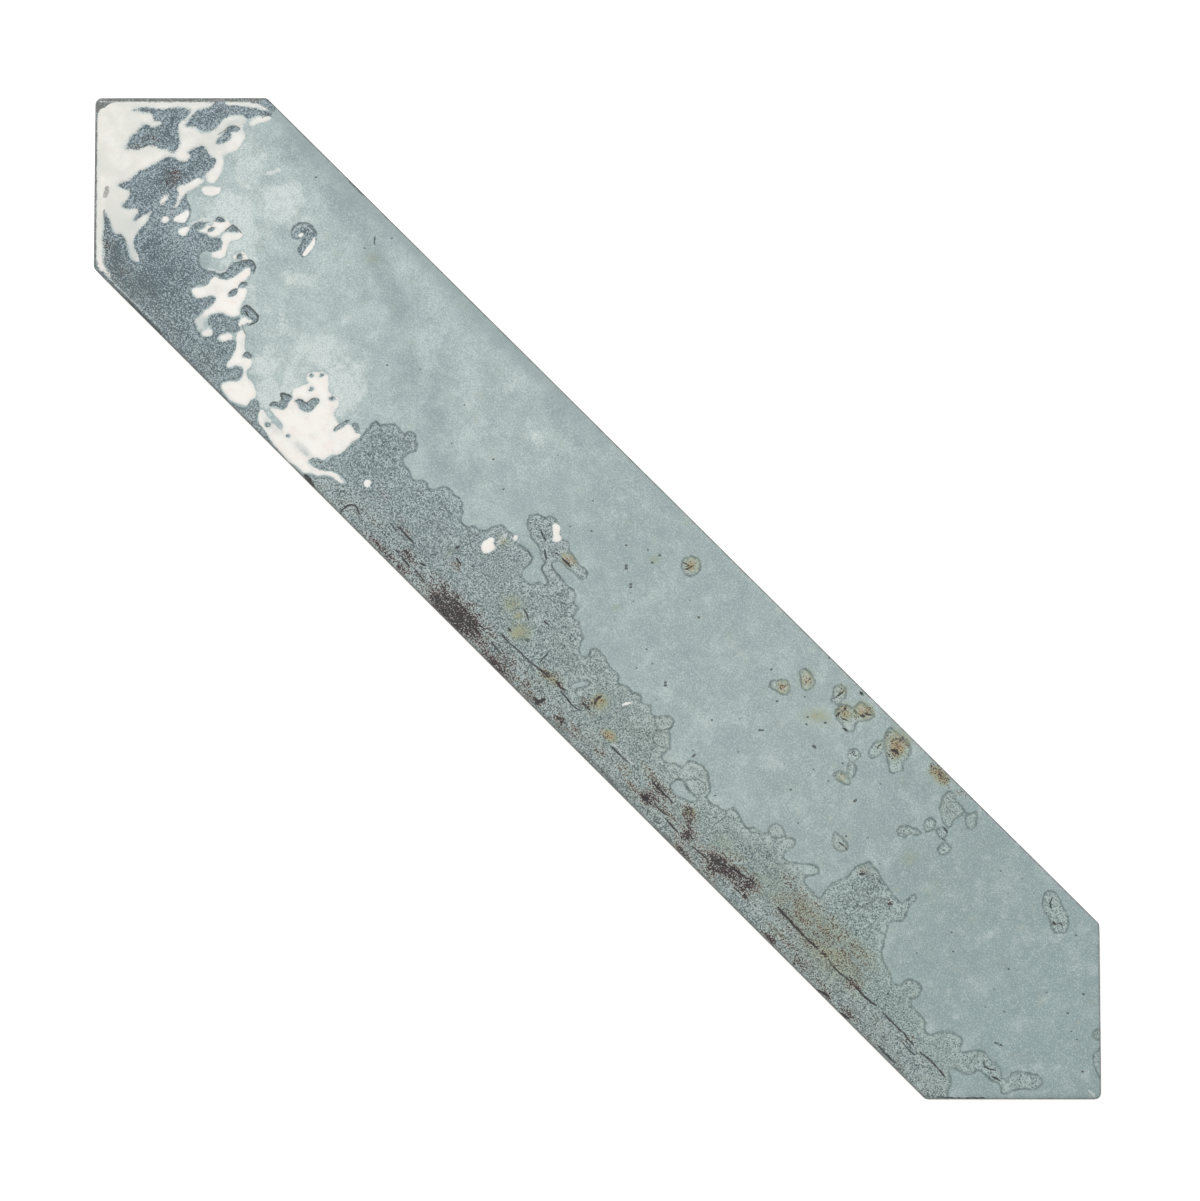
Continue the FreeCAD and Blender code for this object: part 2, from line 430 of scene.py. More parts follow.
# stippled fingers and islands that stand by themselves in the pale glaze
stippleIslands = (
    ((131, 110), (137, 108), (145, 107), (160, 109), (173, 108), (180, 107), (187, 109), (192, 110),
     (188, 115), (183, 120), (179, 124), (178, 130), (179, 137), (180, 142), (178, 148), (174, 153),
     (171, 153), (167, 150), (160, 149), (152, 146), (146, 146), (140, 149), (134, 149.5), (125.5, 148.5),
     (128, 143), (130.5, 138), (136, 132.5), (141, 127), (147, 124), (151, 128), (157, 127), (161, 124),
     (161, 121), (154, 121), (153, 116), (150, 113), (143, 112), (135, 111)),
    ((184, 125.5), (189, 121), (192, 116), (195, 112), (203, 108.5), (210, 106), (214, 103), (216, 99),
     (225, 99), (227, 105), (233, 104), (240, 105), (251, 107.5), (260, 109.5), (267, 111), (271, 112),
     (271.5, 115), (265, 115), (256, 115.7), (248.5, 118.6), (245, 117), (244, 114.3), (237, 114),
     (228.6, 116.4), (221.5, 121.5), (218.6, 126), (215, 130), (207, 131), (200, 129.3), (192, 127)),
    ((236, 97), (270, 98), (276, 105), (273, 112), (269, 109), (260, 105), (247, 102.3)),
    ((216, 144), (218, 139), (223, 135), (225, 131), (228, 127), (234, 126), (240, 129), (237, 132),
     (232, 132), (231, 138), (227, 142), (221, 144)),
    ((217, 274), (221, 273), (225, 272), (227, 268), (231, 264), (238, 262), (244, 261), (249, 259),
     (254, 262), (256, 267), (254, 272), (251, 275), (251, 270), (249, 266), (245, 267), (242, 270),
     (236, 275), (229, 279), (223, 279), (219, 277)),
    ((241, 311), (243, 307), (246, 305), (250, 308), (254, 312), (258, 316), (258, 320), (254, 324),
     (249, 325), (246, 323), (251, 322), (250, 318), (246, 316), (242, 315)),
    ((226.5, 231.6), (230, 228.6), (233, 225.8), (236, 228.4), (240, 231.6), (234, 231.6), (229.5, 232)),
    ((216, 221), (217, 218), (220, 217), (223, 219), (225, 221), (221, 222), (218, 222)),
    ((208, 231.5), (210.5, 228.5), (213, 227.5), (214.8, 228.2), (213, 230.3), (210.5, 232)),
    ((237, 257), (238, 254), (240, 253), (242, 255), (242, 258), (240, 260), (238, 259)),
    ((239, 286), (241, 283), (245, 282), (248, 285), (245, 287), (242, 288)),
    ((228, 296), (230, 292), (234, 289), (238, 289), (237, 293), (234, 296), (230, 297)),
    ((243, 356), (245, 353), (249, 353), (252, 356), (250, 359), (246, 358)),
    ((291, 232), (294, 226), (299, 223), (304, 222), (310, 224), (315, 229), (317, 236), (315, 244),
     (311, 251), (307, 256), (302, 257), (298, 253), (298, 248), (301, 243), (303, 239), (298, 239),
     (293, 239)),
    ((270, 406), (271, 403), (275, 402), (279, 404), (282, 400), (281, 394), (284, 393), (288, 395),
     (292, 397), (289, 402), (287, 406), (284, 410), (280, 409), (276, 406)),
    ((295, 400), (299, 399), (303, 400), (308, 403), (311, 400), (315, 398), (319, 399), (319, 403),
     (315, 407), (311, 411), (307, 412), (303, 411), (299, 407), (297, 403)),
    ((309, 376), (311, 374), (314, 375), (313, 377), (310, 377)),
    ((319, 376), (321, 374), (324, 374), (323, 376), (320, 377)),
    ((309, 390), (311, 387), (314, 388), (313, 391), (310, 391)),
    ((329, 399), (331, 396), (335, 397), (335, 400), (331, 401)),
    ((265, 424), (267, 422), (270, 423), (270, 426), (267, 427)),
    ((286, 436), (288, 434), (290, 436), (288, 438)),
    ((334, 430), (337, 427), (342, 424), (347, 420), (350, 420), (347, 424), (341, 428), (336, 431)),
    ((352, 424), (356, 423), (359, 427), (358, 433), (355, 431)),
    ((682, 560), (686, 557), (692, 556), (698, 558), (701, 563), (700, 570), (696, 575), (690, 577),
     (684, 574), (681, 567)),
    ((768, 686), (771, 681), (776, 680), (781, 679), (787, 680), (790, 685), (790, 690), (787, 695),
     (782, 695), (777, 692), (772, 689)),
    ((799, 674), (801, 669), (805, 668), (810, 672), (814, 678), (816, 683), (812, 688), (807, 691),
     (803, 689), (801, 684)),
    ((833, 690), (835, 685), (840, 684), (845, 687), (847, 692), (845, 698), (841, 702), (838, 705),
     (834, 704), (831, 701), (832, 696)),
    ((837, 708), (842, 704), (847, 705), (851, 707), (855, 707), (857, 704), (861, 701), (865, 704),
     (869, 709), (874, 714), (874, 717), (869, 721), (861, 722), (857, 723), (855.5, 727), (853, 732),
     (848, 733), (844, 729), (841, 724), (837, 719), (834, 714)),
    ((884, 738), (886, 732), (889, 727), (893, 729), (898, 733), (903, 737), (908, 743), (912, 749),
     (910, 756), (906, 760), (903, 765), (904, 770), (899, 772), (893, 774), (889, 771), (888, 764),
     (886, 757), (885, 750)),
    ((868, 752), (871, 746), (876, 741), (881, 740), (885, 744), (883, 750), (880, 755), (876, 758),
     (871, 758)),
    ((847, 755), (849, 750), (854, 748), (859, 751), (861, 756), (858, 760), (853, 762), (849, 760)),
    ((848, 763), (852, 762), (856, 766), (856, 773), (853, 778), (849, 779), (847, 773), (847, 767)),
    ((833, 773), (837, 771), (842, 771), (846, 775), (850, 780), (850, 785), (845, 785), (839, 781),
     (834, 777)),
    ((832, 837), (834, 832), (838, 833), (843, 838), (847, 843), (849, 848), (846, 851), (841, 852),
     (836, 850), (833, 845)),
    ((896, 830), (900, 826), (906, 825), (913, 827), (918, 829), (922, 833), (917, 836), (910, 834),
     (905, 838), (899, 836)),
    ((943, 796), (948, 791), (955, 793), (957, 801), (962, 806), (966, 812), (961, 816), (955, 819),
     (953, 824), (949, 828), (943, 823), (941, 816), (939, 808), (941, 801)),
    ((966, 813), (970, 814), (974, 811), (978, 813), (977, 822), (974, 829), (969, 829), (965, 823)),
    ((923, 825), (928, 818), (935, 819), (936, 825), (932, 831), (926, 832)),
    ((936, 829), (942, 827), (948, 830), (946, 836), (943, 840), (938, 836)),
    ((939, 846), (944, 842), (950, 845), (951, 850), (947, 854), (942, 856), (938, 852)),
    ((1044, 894), (1049, 890), (1056, 892), (1060, 899), (1063, 907), (1068, 915), (1069, 924), (1067, 931),
     (1061, 934), (1054, 932), (1050, 926), (1049, 918), (1044, 912), (1042, 904)),
    ((1092, 1035), (1094, 1030), (1098, 1029), (1106, 1030), (1106, 1039), (1098, 1040), (1094, 1039)),
    ((1093, 1056), (1096, 1051), (1106, 1050), (1106, 1079), (1099, 1077), (1096, 1070), (1093, 1064)),
)
# painted reflections of the softbox, laid on as glossy cream pools along the near point and where the two
# glazes meet
creamReflectionPatches = (
    ((98, 106), (104, 102), (150, 102), (208, 103), (216, 106), (206, 109), (195, 112), (192, 118),
     (196, 128), (205, 134), (212, 131), (219, 126), (224, 119), (230, 115), (243, 115), (246.5, 117.5),
     (246, 121.5), (243, 125), (243, 130), (246, 136), (243, 143), (236, 151), (226, 155), (220, 161),
     (221, 168), (219, 175), (215, 181), (210, 182), (206, 178), (200, 176), (160, 200), (152, 212),
     (146, 222), (141, 230), (134, 240), (126, 236), (112, 236), (106, 228), (103, 240), (103, 262),
     (105, 268), (110, 276), (106, 275), (99, 270), (96, 262), (96, 150)),
    ((226, 102.5), (237, 101.3), (247, 102), (260, 105), (269, 109), (266, 110.6), (251, 107.4), (240, 105),
     (227, 105)),
    ((249.5, 121.5), (253, 118.5), (258, 116.4), (265, 115.4), (270, 115.4), (272, 118), (269, 121.3),
     (262, 123), (256, 125), (251.5, 126.8), (249, 125)),
    ((216, 156), (223, 155), (224, 162), (223, 168), (221, 174), (217, 181), (214, 183.5), (208.5, 183),
     (206.5, 180), (207, 174), (210, 170), (214, 165), (215, 161)),
    ((284, 424), (292, 430), (300, 440), (307, 447), (303, 452), (295, 447), (287, 440), (282, 432)),
    ((124, 230), (134, 234), (137, 246), (141, 257), (138, 262), (132, 257), (127, 245)),
    ((201, 188), (204, 186.5), (209, 185.5), (214, 186.5), (217, 187), (220.5, 185.5), (222, 189),
     (220, 193.5), (216, 195.5), (211, 196.5), (205, 195.5), (202, 192.5)),
    ((176, 229), (182, 228), (188, 226), (190, 230), (187, 234), (183, 237), (178, 235), (175, 232)),
    ((197, 231), (201, 229), (205, 228), (206, 225), (203, 222), (206, 222), (210, 226), (213, 224),
     (214, 219), (219, 215), (225, 217), (231, 223), (231, 226), (227, 229), (223, 232), (219, 236),
     (214, 237), (210, 236), (205, 233), (200, 232)),
    ((221, 236), (227, 232), (234, 233), (241, 232), (243, 235), (240, 240), (233, 241), (229, 244),
     (227, 251), (225, 257), (219, 259), (212, 257), (211, 253), (216, 251), (221, 249), (222, 243)),
    ((232, 258), (236, 252), (242, 251), (247, 255), (249, 259), (244, 261), (238, 261)),
    ((191, 290), (196, 287), (205, 286), (210, 281), (214, 276), (219, 278), (226, 280), (233, 277),
     (239, 273), (245, 269), (251, 267), (252, 272), (249, 277), (245, 281), (240, 284), (244, 287),
     (248, 291), (246, 297), (243, 303), (240, 309), (240, 315), (234, 317), (228, 316), (222, 313),
     (215, 314), (208, 317), (203, 322), (206, 327), (201, 331), (197, 327), (194, 320), (199, 317),
     (205, 311), (211, 306), (215, 300), (214, 296), (207, 297), (200, 299), (194, 296)),
    ((238, 324), (242, 319), (247, 319), (250, 322), (247, 324), (243, 326), (241, 328), (238, 327)),
    ((219, 336), (225, 334), (231, 333), (233, 337), (230, 341), (223, 342), (219, 340)),
    ((201, 332), (207, 328), (213, 330), (213, 334), (207, 338), (202, 336)),
    ((237, 332), (243, 330), (246, 334), (245, 342), (246, 350), (250, 356), (253, 362), (251, 368),
     (247, 372), (249, 379), (253, 383), (256, 389), (256, 398), (252, 404), (246, 406), (238, 404),
     (230, 400), (225, 394), (221, 388), (222, 383), (229, 381), (238, 381), (242, 377), (243, 371),
     (241, 367), (235, 366), (229, 368), (226, 365), (229, 360), (233, 355), (236, 348), (236, 340)),
    ((292, 391), (297, 387), (303, 385), (308, 383), (306, 379), (307, 374), (312, 371), (318, 372),
     (324, 371), (329, 376), (329, 384), (329, 391), (333, 394), (338, 397), (340, 402), (338, 409),
     (334, 414), (338, 421), (341, 424), (349, 424), (354, 427), (357, 431), (361, 433), (359, 438),
     (354, 441), (349, 446), (343, 452), (338, 455), (331, 455), (325, 460), (318, 461), (312, 459),
     (307, 455), (302, 450), (297, 443), (291, 435), (284, 427), (276, 417), (269, 409), (272, 408),
     (279, 409), (284, 409), (289, 401), (292, 398)),
    ((258, 413), (262, 408), (266, 413), (271, 420), (279, 428), (286, 434), (291, 438), (298, 446),
     (305, 453), (311, 459), (308, 462), (313, 465), (320, 470), (330, 471), (336, 473), (341, 478),
     (345, 483), (341, 484), (336, 481), (332, 477), (325, 475), (317, 476), (311, 473), (303, 473),
     (297, 467), (290, 463), (283, 456), (276, 448), (270, 441), (265, 432), (259, 425)),
)
# raised beads that sit on the stippled glaze, with painted cream reflections on them
creamGlintBeads = (
    ((197, 178), (203, 179), (204, 182), (199, 186), (194, 189), (189, 192), (184, 196), (181, 201),
     (179, 205), (175, 209), (170, 214), (168, 214), (172, 209), (175, 204), (177, 198), (178, 192),
     (178, 187), (183, 184), (189, 182)),
    ((173, 218), (177, 215), (181, 213), (185, 210), (189, 210), (190, 214), (188, 219), (185, 223),
     (179, 223), (173, 221)),
    ((96.5, 252), (102.2, 252), (102.6, 260), (104.6, 266), (109, 272), (114, 278.5), (112, 278.5),
     (105.6, 273.5), (100, 270), (97.4, 266), (96.4, 260)),
    ((160.5, 219), (163.5, 215.5), (168, 216), (170, 219.5), (166.5, 223.5), (162, 223)),
    ((160, 203), (161, 198.5), (165, 195), (169, 194), (168.5, 198.5), (165.5, 202.5), (162, 204)),
    ((174, 241), (175, 239), (177, 241), (175, 243)),
    ((238, 325), (241, 319), (245, 317), (249, 320), (254, 320), (252, 323), (247, 324), (243, 326),
     (240, 328)),
    ((552, 524), (556, 523), (560, 525), (561, 529), (560, 534), (562, 538), (560, 542), (555, 542.5),
     (551.5, 540), (553, 536), (552, 530)),
    ((482, 543), (486, 539), (491, 537), (495, 539), (494, 543), (496, 547), (493, 551), (488, 554),
     (483, 553), (480.5, 548)),
    ((363, 483), (365, 479.5), (368, 478.5), (371, 480.5), (371, 485), (368.5, 488), (365, 487.5)),
    ((621, 705), (625, 702), (630, 701), (633, 702), (629, 705), (624, 706)),
    ((297, 236.5), (298.5, 234), (301, 232.3), (304, 232.4), (305.2, 234.5), (303, 236.7), (300, 237.6)),
    ((302, 254.5), (304.5, 250), (308, 246), (311, 241.5), (313, 237.5), (315, 236), (316.2, 239),
     (315.5, 244), (312.8, 249), (309, 254), (305.5, 256.8), (302.8, 256.8)),
    ((512.5, 538), (514, 535), (517, 534.5), (518.5, 537), (517, 541), (513.5, 542)),
)
# dark lines drawn by the glaze as it shrank: tone, width in pixels, then the places that the line passes
inkStrokes = (
    (0.54, 5.4, (107, 188), (106.5, 191), (105, 196)),
    (0.75, 3.6, (118, 291.5), (132, 305.5), (146, 319.5), (160, 333)),
    (0.6, 2.4, (104, 211), (104.5, 217), (106, 223)), (1.0, 4.6, (306, 476), (310, 480)),
    (1.0, 5.5, (537, 703), (543, 700)), (1.0, 2.2, (534, 698), (540, 702)),
    (1.0, 2.2, (558, 717), (562, 720), (561, 724)), (0.6, 1.8, (168, 171), (172, 176), (170, 182)),
    (0.6, 1.6, (164, 178), (167, 184), (165, 188)), (0.5, 1.6, (172, 186), (177, 184)),
    (0.5, 1.6, (136, 147), (142, 147), (148, 145)),
    (0.6, 1.4, (219, 134), (224, 131), (228, 127), (234, 126), (239, 128)),
    (1.0, 1.8, (246, 312), (248, 315)), (0.85, 1.6, (374.8, 238), (374.6, 241), (374.2, 243)),
    (0.6, 2.6, (350, 181.5), (356, 187.5), (362.5, 194)),
    (1.0, 1.8, (341, 511), (344, 508), (349, 505), (354, 505), (357, 508), (359, 513)),
    (1.0, 3.6, (307, 479), (313, 485)), (1.0, 1.6, (391, 524), (396, 530)),
    (1.0, 2.0, (400, 528), (406, 535), (413, 542)), (1.0, 3.0, (397, 551), (398, 552)),
    (1.0, 2.4, (405, 551), (407, 552)), (1.0, 2.0, (402, 557), (409, 566)),
    (1.0, 3.2, (422, 564), (424, 565)), (1.0, 1.4, (416, 571), (424, 580)),
    (1.0, 2.6, (456, 548), (458, 547)), (1.0, 2.2, (457, 559), (460, 563)),
    (1.0, 1.5, (503, 637), (512, 645), (520, 652), (526, 658)), (1.0, 2.6, (503, 635), (504, 637)),
    (1.0, 2.6, (509, 629), (510, 630)), (1.0, 2.8, (527, 640), (528, 640)),
    (1.0, 1.6, (492, 642), (496, 648), (501, 653)), (1.0, 1.4, (541, 661), (543, 658), (547, 655)),
    (1.0, 2.0, (526, 658), (533, 664), (541, 670), (547, 675)),
    (1.0, 2.6, (557, 683), (560, 687), (565, 690)), (1.0, 1.4, (560, 691), (566, 697), (571, 703)),
    (1.0, 1.8, (524, 610), (527, 615), (528, 619)), (1.0, 2.0, (545, 622), (548, 624)),
    (1.0, 2.4, (563, 559), (567, 563), (570, 566)), (1.0, 2.0, (545, 551), (546, 558)),
    (1.0, 2.2, (556, 553), (558, 554)), (1.0, 1.8, (541, 532), (545, 539)),
    (1.0, 2.6, (595, 703), (596, 700), (600, 697)), (1.0, 2.4, (583, 704), (589, 709)),
    (1.0, 1.6, (567, 700), (573, 706), (579, 710)), (1.0, 3.4, (540, 702), (544, 700)),
    (1.0, 2.2, (558, 718), (564, 719)), (1.0, 1.6, (612, 747), (622, 757), (634, 766)),
    (1.0, 3.6, (644, 797), (647, 798)), (1.0, 1.8, (653, 783), (662, 792), (672, 802)),
    (1.0, 1.8, (655, 804), (661, 811), (667, 815)), (1.0, 1.8, (667, 820), (672, 826), (677, 831)),
    (1.0, 1.6, (693, 847), (699, 852), (706, 858)), (0.8, 1.6, (714, 857), (721, 863), (728, 869)),
    (1.0, 2.0, (730, 866), (738, 872), (746, 878)), (0.9, 2.4, (748, 877), (753, 882)),
    (1.0, 1.8, (735, 888), (740, 893)), (1.0, 2.6, (744, 896), (746, 898)),
    (1.0, 2.8, (779, 909), (790, 921), (803, 935)), (1.0, 2.0, (803, 935), (809, 941), (817, 948)),
    (1.0, 2.0, (822, 953), (825, 954)), (1.0, 1.8, (829, 960), (833, 966), (841, 974), (849, 980)),
    (1.0, 2.4, (857, 988), (865, 997), (875, 1005)),
    (1.0, 1.8, (883, 1013), (889, 1019), (895, 1025), (901, 1031)),
    (1.0, 1.6, (904, 1033), (908, 1039), (913, 1044)), (1.0, 1.4, (903, 1043), (909, 1050), (914, 1054)),
    (1.0, 2.0, (921, 1053), (930, 1060), (938, 1068), (944, 1076)),
    (1.0, 2.2, (879, 1046), (886, 1054), (894, 1062)), (1.0, 2.4, (818, 990), (828, 996)),
    (1.0, 2.4, (841, 1013), (848, 1018)), (1.0, 1.8, (984, 1062), (985, 1067), (990, 1069), (994, 1070)),
    (1.0, 2.2, (993, 1077), (999, 1080)), (1.0, 2.2, (996, 1043), (1001, 1045)),
    (1.0, 1.8, (835, 698), (839, 695), (843, 692)), (1.0, 2.6, (837, 715), (839, 713)),
    (1.0, 2.4, (845, 708), (846, 706)), (1.0, 2.0, (843, 719), (846, 720)),
    (1.0, 2.2, (855, 711), (856, 712)), (1.0, 2.4, (866, 714), (870, 715)),
    (1.0, 2.0, (861, 716), (863, 717)), (1.0, 3.0, (861, 693), (862, 694)),
    (1.0, 2.6, (844, 729), (846, 730)), (1.0, 2.2, (892, 741), (896, 739), (899, 739)),
    (1.0, 2.2, (899, 742), (903, 738)), (1.0, 3.0, (892, 750), (893, 750)),
    (1.0, 2.6, (895, 751), (898, 753)), (1.0, 2.2, (878, 747), (880, 745)),
    (1.0, 1.6, (851, 753), (853, 752)), (1.0, 1.6, (855, 756), (856, 756)),
    (1.0, 1.8, (840, 843), (844, 846), (847, 849)), (1.0, 1.6, (1052, 899), (1050, 903), (1051, 907)),
    (1.0, 2.8, (1054, 923), (1055, 924)), (1.0, 1.6, (1060, 923), (1062, 925)),
    (1.0, 2.2, (686, 569), (688, 569)), (1.0, 1.8, (684, 563), (687, 564)),
    (1.0, 2.0, (690, 567), (692, 566)), (1.0, 3.0, (861, 874), (863, 874)),
    (1.0, 3.2, (889, 904), (891, 904)), (1.0, 1.6, (937, 1097), (960, 1098), (985, 1098)),
    (1.0, 2.0, (944, 828), (946, 831)), (1.0, 1.8, (943, 839), (945, 840)),
)
# rings and cell walls inside the stippled glaze, given in the same way; the darker arcs along the upper sides
# of the small islands near the near point are painted shade
cellWallsAndShade = (
    (0.7, 1.6, (216, 220), (218, 217.5), (221, 217.5), (224, 220)),
    (0.7, 1.6, (208, 230), (211, 227.5), (214, 227.5)),
    (0.7, 1.6, (226, 230), (230, 227), (233, 225), (237, 228), (241, 232)),
    (0.6, 1.6, (237, 257), (239, 254), (242, 254)), (0.7, 1.6, (239, 286), (242, 283), (247, 283)),
    (0.6, 1.4, (229, 293), (233, 289.5), (237, 289)),
    (0.7, 1.6, (243, 356), (245, 353), (249, 353.5), (251, 356)),
    (0.7, 1.6, (227, 267), (231, 263), (238, 262), (246, 260), (252, 261), (255, 266), (254, 272)),
    (0.7, 1.6, (296, 401), (300, 399.5), (306, 403), (309, 401), (313, 398.5)),
    (0.8, 1.8, (279, 402), (282, 399), (281, 394), (284, 393), (290, 396)),
    (0.6, 1.6, (270, 405), (273, 402.5), (277, 403)), (0.7, 1.6, (334, 429), (340, 424), (348, 420)),
    (0.8, 1.8, (243, 307), (247, 305.5), (252, 309), (258, 316), (257, 322), (250, 325)),
    (0.6, 1.4, (205, 223), (209, 222), (203, 224)), (0.6, 1.6, (263, 117), (268, 115), (271, 116)),
    (0.45, 1.8, (545, 563), (542, 567), (543, 572), (547, 578), (549, 584)),
    (0.45, 1.6, (552, 566), (556, 572), (562, 579)),
    (0.45, 1.6, (461, 522), (467, 529), (469, 538), (471, 546)),
    (0.45, 1.6, (468, 527), (472, 533), (478, 536), (480, 530)),
    (0.45, 1.6, (405, 434), (404, 439), (408, 442), (414, 441)),
    (0.45, 1.6, (376, 421), (381, 428), (380, 436)), (0.45, 1.6, (415, 490), (421, 492), (428, 489)),
    (0.45, 1.6, (687, 787), (686, 782), (689, 779), (697, 779), (704, 783), (706, 789), (702, 794),
     (694, 794), (687, 787)),
    (0.45, 1.6, (655, 732), (664, 730), (672, 727)),
    (0.45, 1.6, (653, 735), (653, 741), (658, 745), (664, 748)),
    (0.45, 1.6, (655, 717), (655, 724), (659, 730)),
    (0.45, 1.6, (769, 831), (772, 837), (779, 838), (786, 836)),
    (0.45, 1.6, (745, 826), (750, 831), (757, 833)), (0.45, 1.6, (726, 811), (724, 818), (716, 823)),
    (0.45, 1.6, (855, 891), (860, 887), (865, 890), (869, 895)),
    (0.45, 1.6, (852, 895), (856, 903), (863, 908), (871, 910)),
    (0.45, 1.6, (864, 905), (872, 903), (878, 897), (884, 900)),
    (0.45, 1.6, (590, 651), (590, 658), (586, 664)), (0.45, 1.6, (574, 602), (566, 604), (560, 601)),
    (0.45, 1.6, (573, 616), (566, 617), (560, 614)), (0.45, 1.8, (441, 502), (446, 509), (450, 513)),
    (0.45, 1.6, (528, 551), (532, 560), (525, 568)),
    (0.45, 1.6, (660, 765), (668, 770), (672, 778), (682, 779)),
)
# light lines have a negative tone; the one from (268, 173.5) to (279, 170) is a painted glint on a wave of
# the pale glaze
lightStrokes = (
    (-0.55, 7.0, (498, 543), (502, 539), (505, 536)),
    (-0.9, 1.8, (209, 269), (214, 270), (219, 272), (225, 271), (228, 266), (236, 261)),
    (-0.7, 1.6, (340, 398), (341, 404), (338, 410)), (0.6, 1.6, (242, 326), (245, 333)),
    (-0.7, 1.3, (105, 273.5), (113, 282), (124, 293), (136, 304)),
    (-0.5, 1.4, (136, 304), (150, 317), (162, 329)), (-1.0, 4.4, (268, 173.5), (273, 172), (279, 170)),
    (-0.7, 2.6, (613, 745), (622, 754), (633, 765)),
    (-1.0, 2.6, (189.5, 227), (191, 224.5), (195, 221.8), (199, 220.8), (204, 220.8), (207.5, 223)),
    (-0.5, 2.0, (131, 232), (133, 244), (138, 257)), (-0.9, 2.0, (1090, 1091), (1094, 1095)),
    (-0.55, 1.7, (293, 233), (296, 228), (301, 226), (307, 227), (312, 231)),
)
# soft stains: the middle, half the length and half the width in pixels, the turn in degrees, and the strength
ironStains = (
    (455, 612, 34, 13, 45, 1.9), (438, 602, 15, 9, 45, 1.4), (448, 600, 14, 7, 10, 1.2),
    (478, 642, 22, 6, 45, 0.7), (500, 662, 12, 8, 45, 0.6), (513, 663, 7, 5, 80, 0.9),
    (485, 656, 6, 4, 45, 0.7), (527, 684, 5, 4, 45, 0.9), (513, 680, 8, 5, 45, 0.6),
    (525, 693, 12, 6, 45, 0.7), (550, 675, 12, 5, 25, 0.9), (559, 684, 7, 4, 50, 0.8),
    (586, 705, 8, 5, 20, 0.9), (600, 700, 8, 5, -30, 0.6), (592, 714, 6, 5, 40, 0.6),
    (541, 702, 6, 5, 45, 0.9), (560, 720, 12, 5, 45, 0.7), (409, 557, 9, 6, 40, 0.9),
    (402, 568, 12, 5, 45, 0.8), (455, 565, 8, 6, 20, 0.6), (381, 497, 12, 8, 20, 0.45),
    (403, 530, 10, 6, 50, 0.5), (402, 522, 6, 5, 0, 0.45), (606, 734, 7, 5, 40, 0.7),
    (625, 770, 10, 5, 45, 0.6), (600, 752, 8, 5, 45, 0.5), (649, 798, 10, 7, 40, 1.5),
    (662, 790, 16, 6, 48, 1.1), (664, 811, 14, 5, 48, 0.7), (688, 811, 7, 7, 0, 1.2),
    (689, 822, 7, 10, 0, 1.2), (688, 836, 9, 7, 0, 1.5), (700, 850, 14, 5, 48, 0.6),
    (719, 864, 15, 8, 42, 1.55), (735, 875, 18, 9, 42, 1.4), (750, 884, 10, 8, 42, 1.25),
    (743, 889, 10, 6, 60, 0.9), (737, 858, 10, 6, 20, 0.45), (708, 876, 8, 4, 48, 0.8),
    (768, 937, 14, 4, 42, 0.8), (784, 913, 9, 6, 45, 1.2), (780, 905, 12, 8, 45, 0.6),
    (792, 921, 12, 8, 45, 0.6), (809, 944, 9, 6, 45, 0.9), (800, 912, 26, 22, 45, 0.66),
    (825, 935, 28, 18, 40, 0.66), (848, 955, 22, 16, 40, 0.58), (769, 938, 12, 4, 45, 1.1),
    (800, 963, 10, 4, 45, 1.1), (849, 1013, 12, 4, 45, 1.1), (497, 665, 24, 6, 45, 1.3),
    (683, 852, 12, 5, 45, 1.1), (385, 552, 26, 5, 45, 0.8), (790, 945, 30, 5, 45, 0.6),
    (712, 868, 10, 5, 45, 1.3), (824, 953, 5, 4, 45, 0.8), (854, 983, 8, 7, 45, 1.05),
    (834, 968, 9, 5, 40, 0.6), (800, 962, 12, 6, 45, 0.6), (822, 985, 16, 4, 45, 0.7),
    (826, 994, 8, 3, 45, 0.9), (845, 1016, 7, 3, 45, 0.8), (788, 880, 10, 6, 20, 0.5),
    (860, 962, 12, 10, 30, 0.35), (908, 1040, 6, 8, 0, 0.5), (684, 853, 14, 4, 45, 0.6),
    (703, 873, 8, 3, 45, 0.7), (120, 275, 8, 9, 40, 0.55), (107, 245, 6, 14, 0, 0.75),
    (174, 178, 7, 8, 20, 0.75), (150, 140, 9, 6, 0, 0.5), (138, 147.5, 8, 3, 0, 0.6),
    (205, 280, 6, 5, 0, 0.4), (897, 746, 9, 9, 0, 0.55), (940, 774, 12, 5, 45, 1.1),
    (512, 640, 10, 6, 0, 0.35), (842, 690, 5, 7, 0, 0.5), (843, 712, 7, 6, 0, 0.62),
    (858, 716, 6, 5, 0, 0.45), (869, 710, 5, 5, 0, 0.5), (894, 752, 7, 6, 0, 0.7), (904, 744, 6, 6, 0, 0.55),
    (890, 738, 4, 4, 0, 0.5), (784, 686, 6, 5, 0, 0.4), (808, 680, 5, 7, 0, 0.4), (690, 566, 6, 6, 0, 0.45),
    (570, 561, 6, 5, 0, 0.5), (503, 541, 4, 4, 0, 0.45), (839, 777, 5, 4, 0, 0.4), (861, 872, 5, 3, 0, 0.6),
    (890, 903, 4, 4, 0, 0.6), (817, 716, 5, 4, 0, 0.3), (961, 793, 7, 3, 45, 0.6), (648, 772, 10, 5, 45, 0.6),
    (575, 730, 10, 5, 45, 0.7), (633, 788, 12, 4, 45, 0.7), (470, 622, 12, 5, 45, 0.9),
)
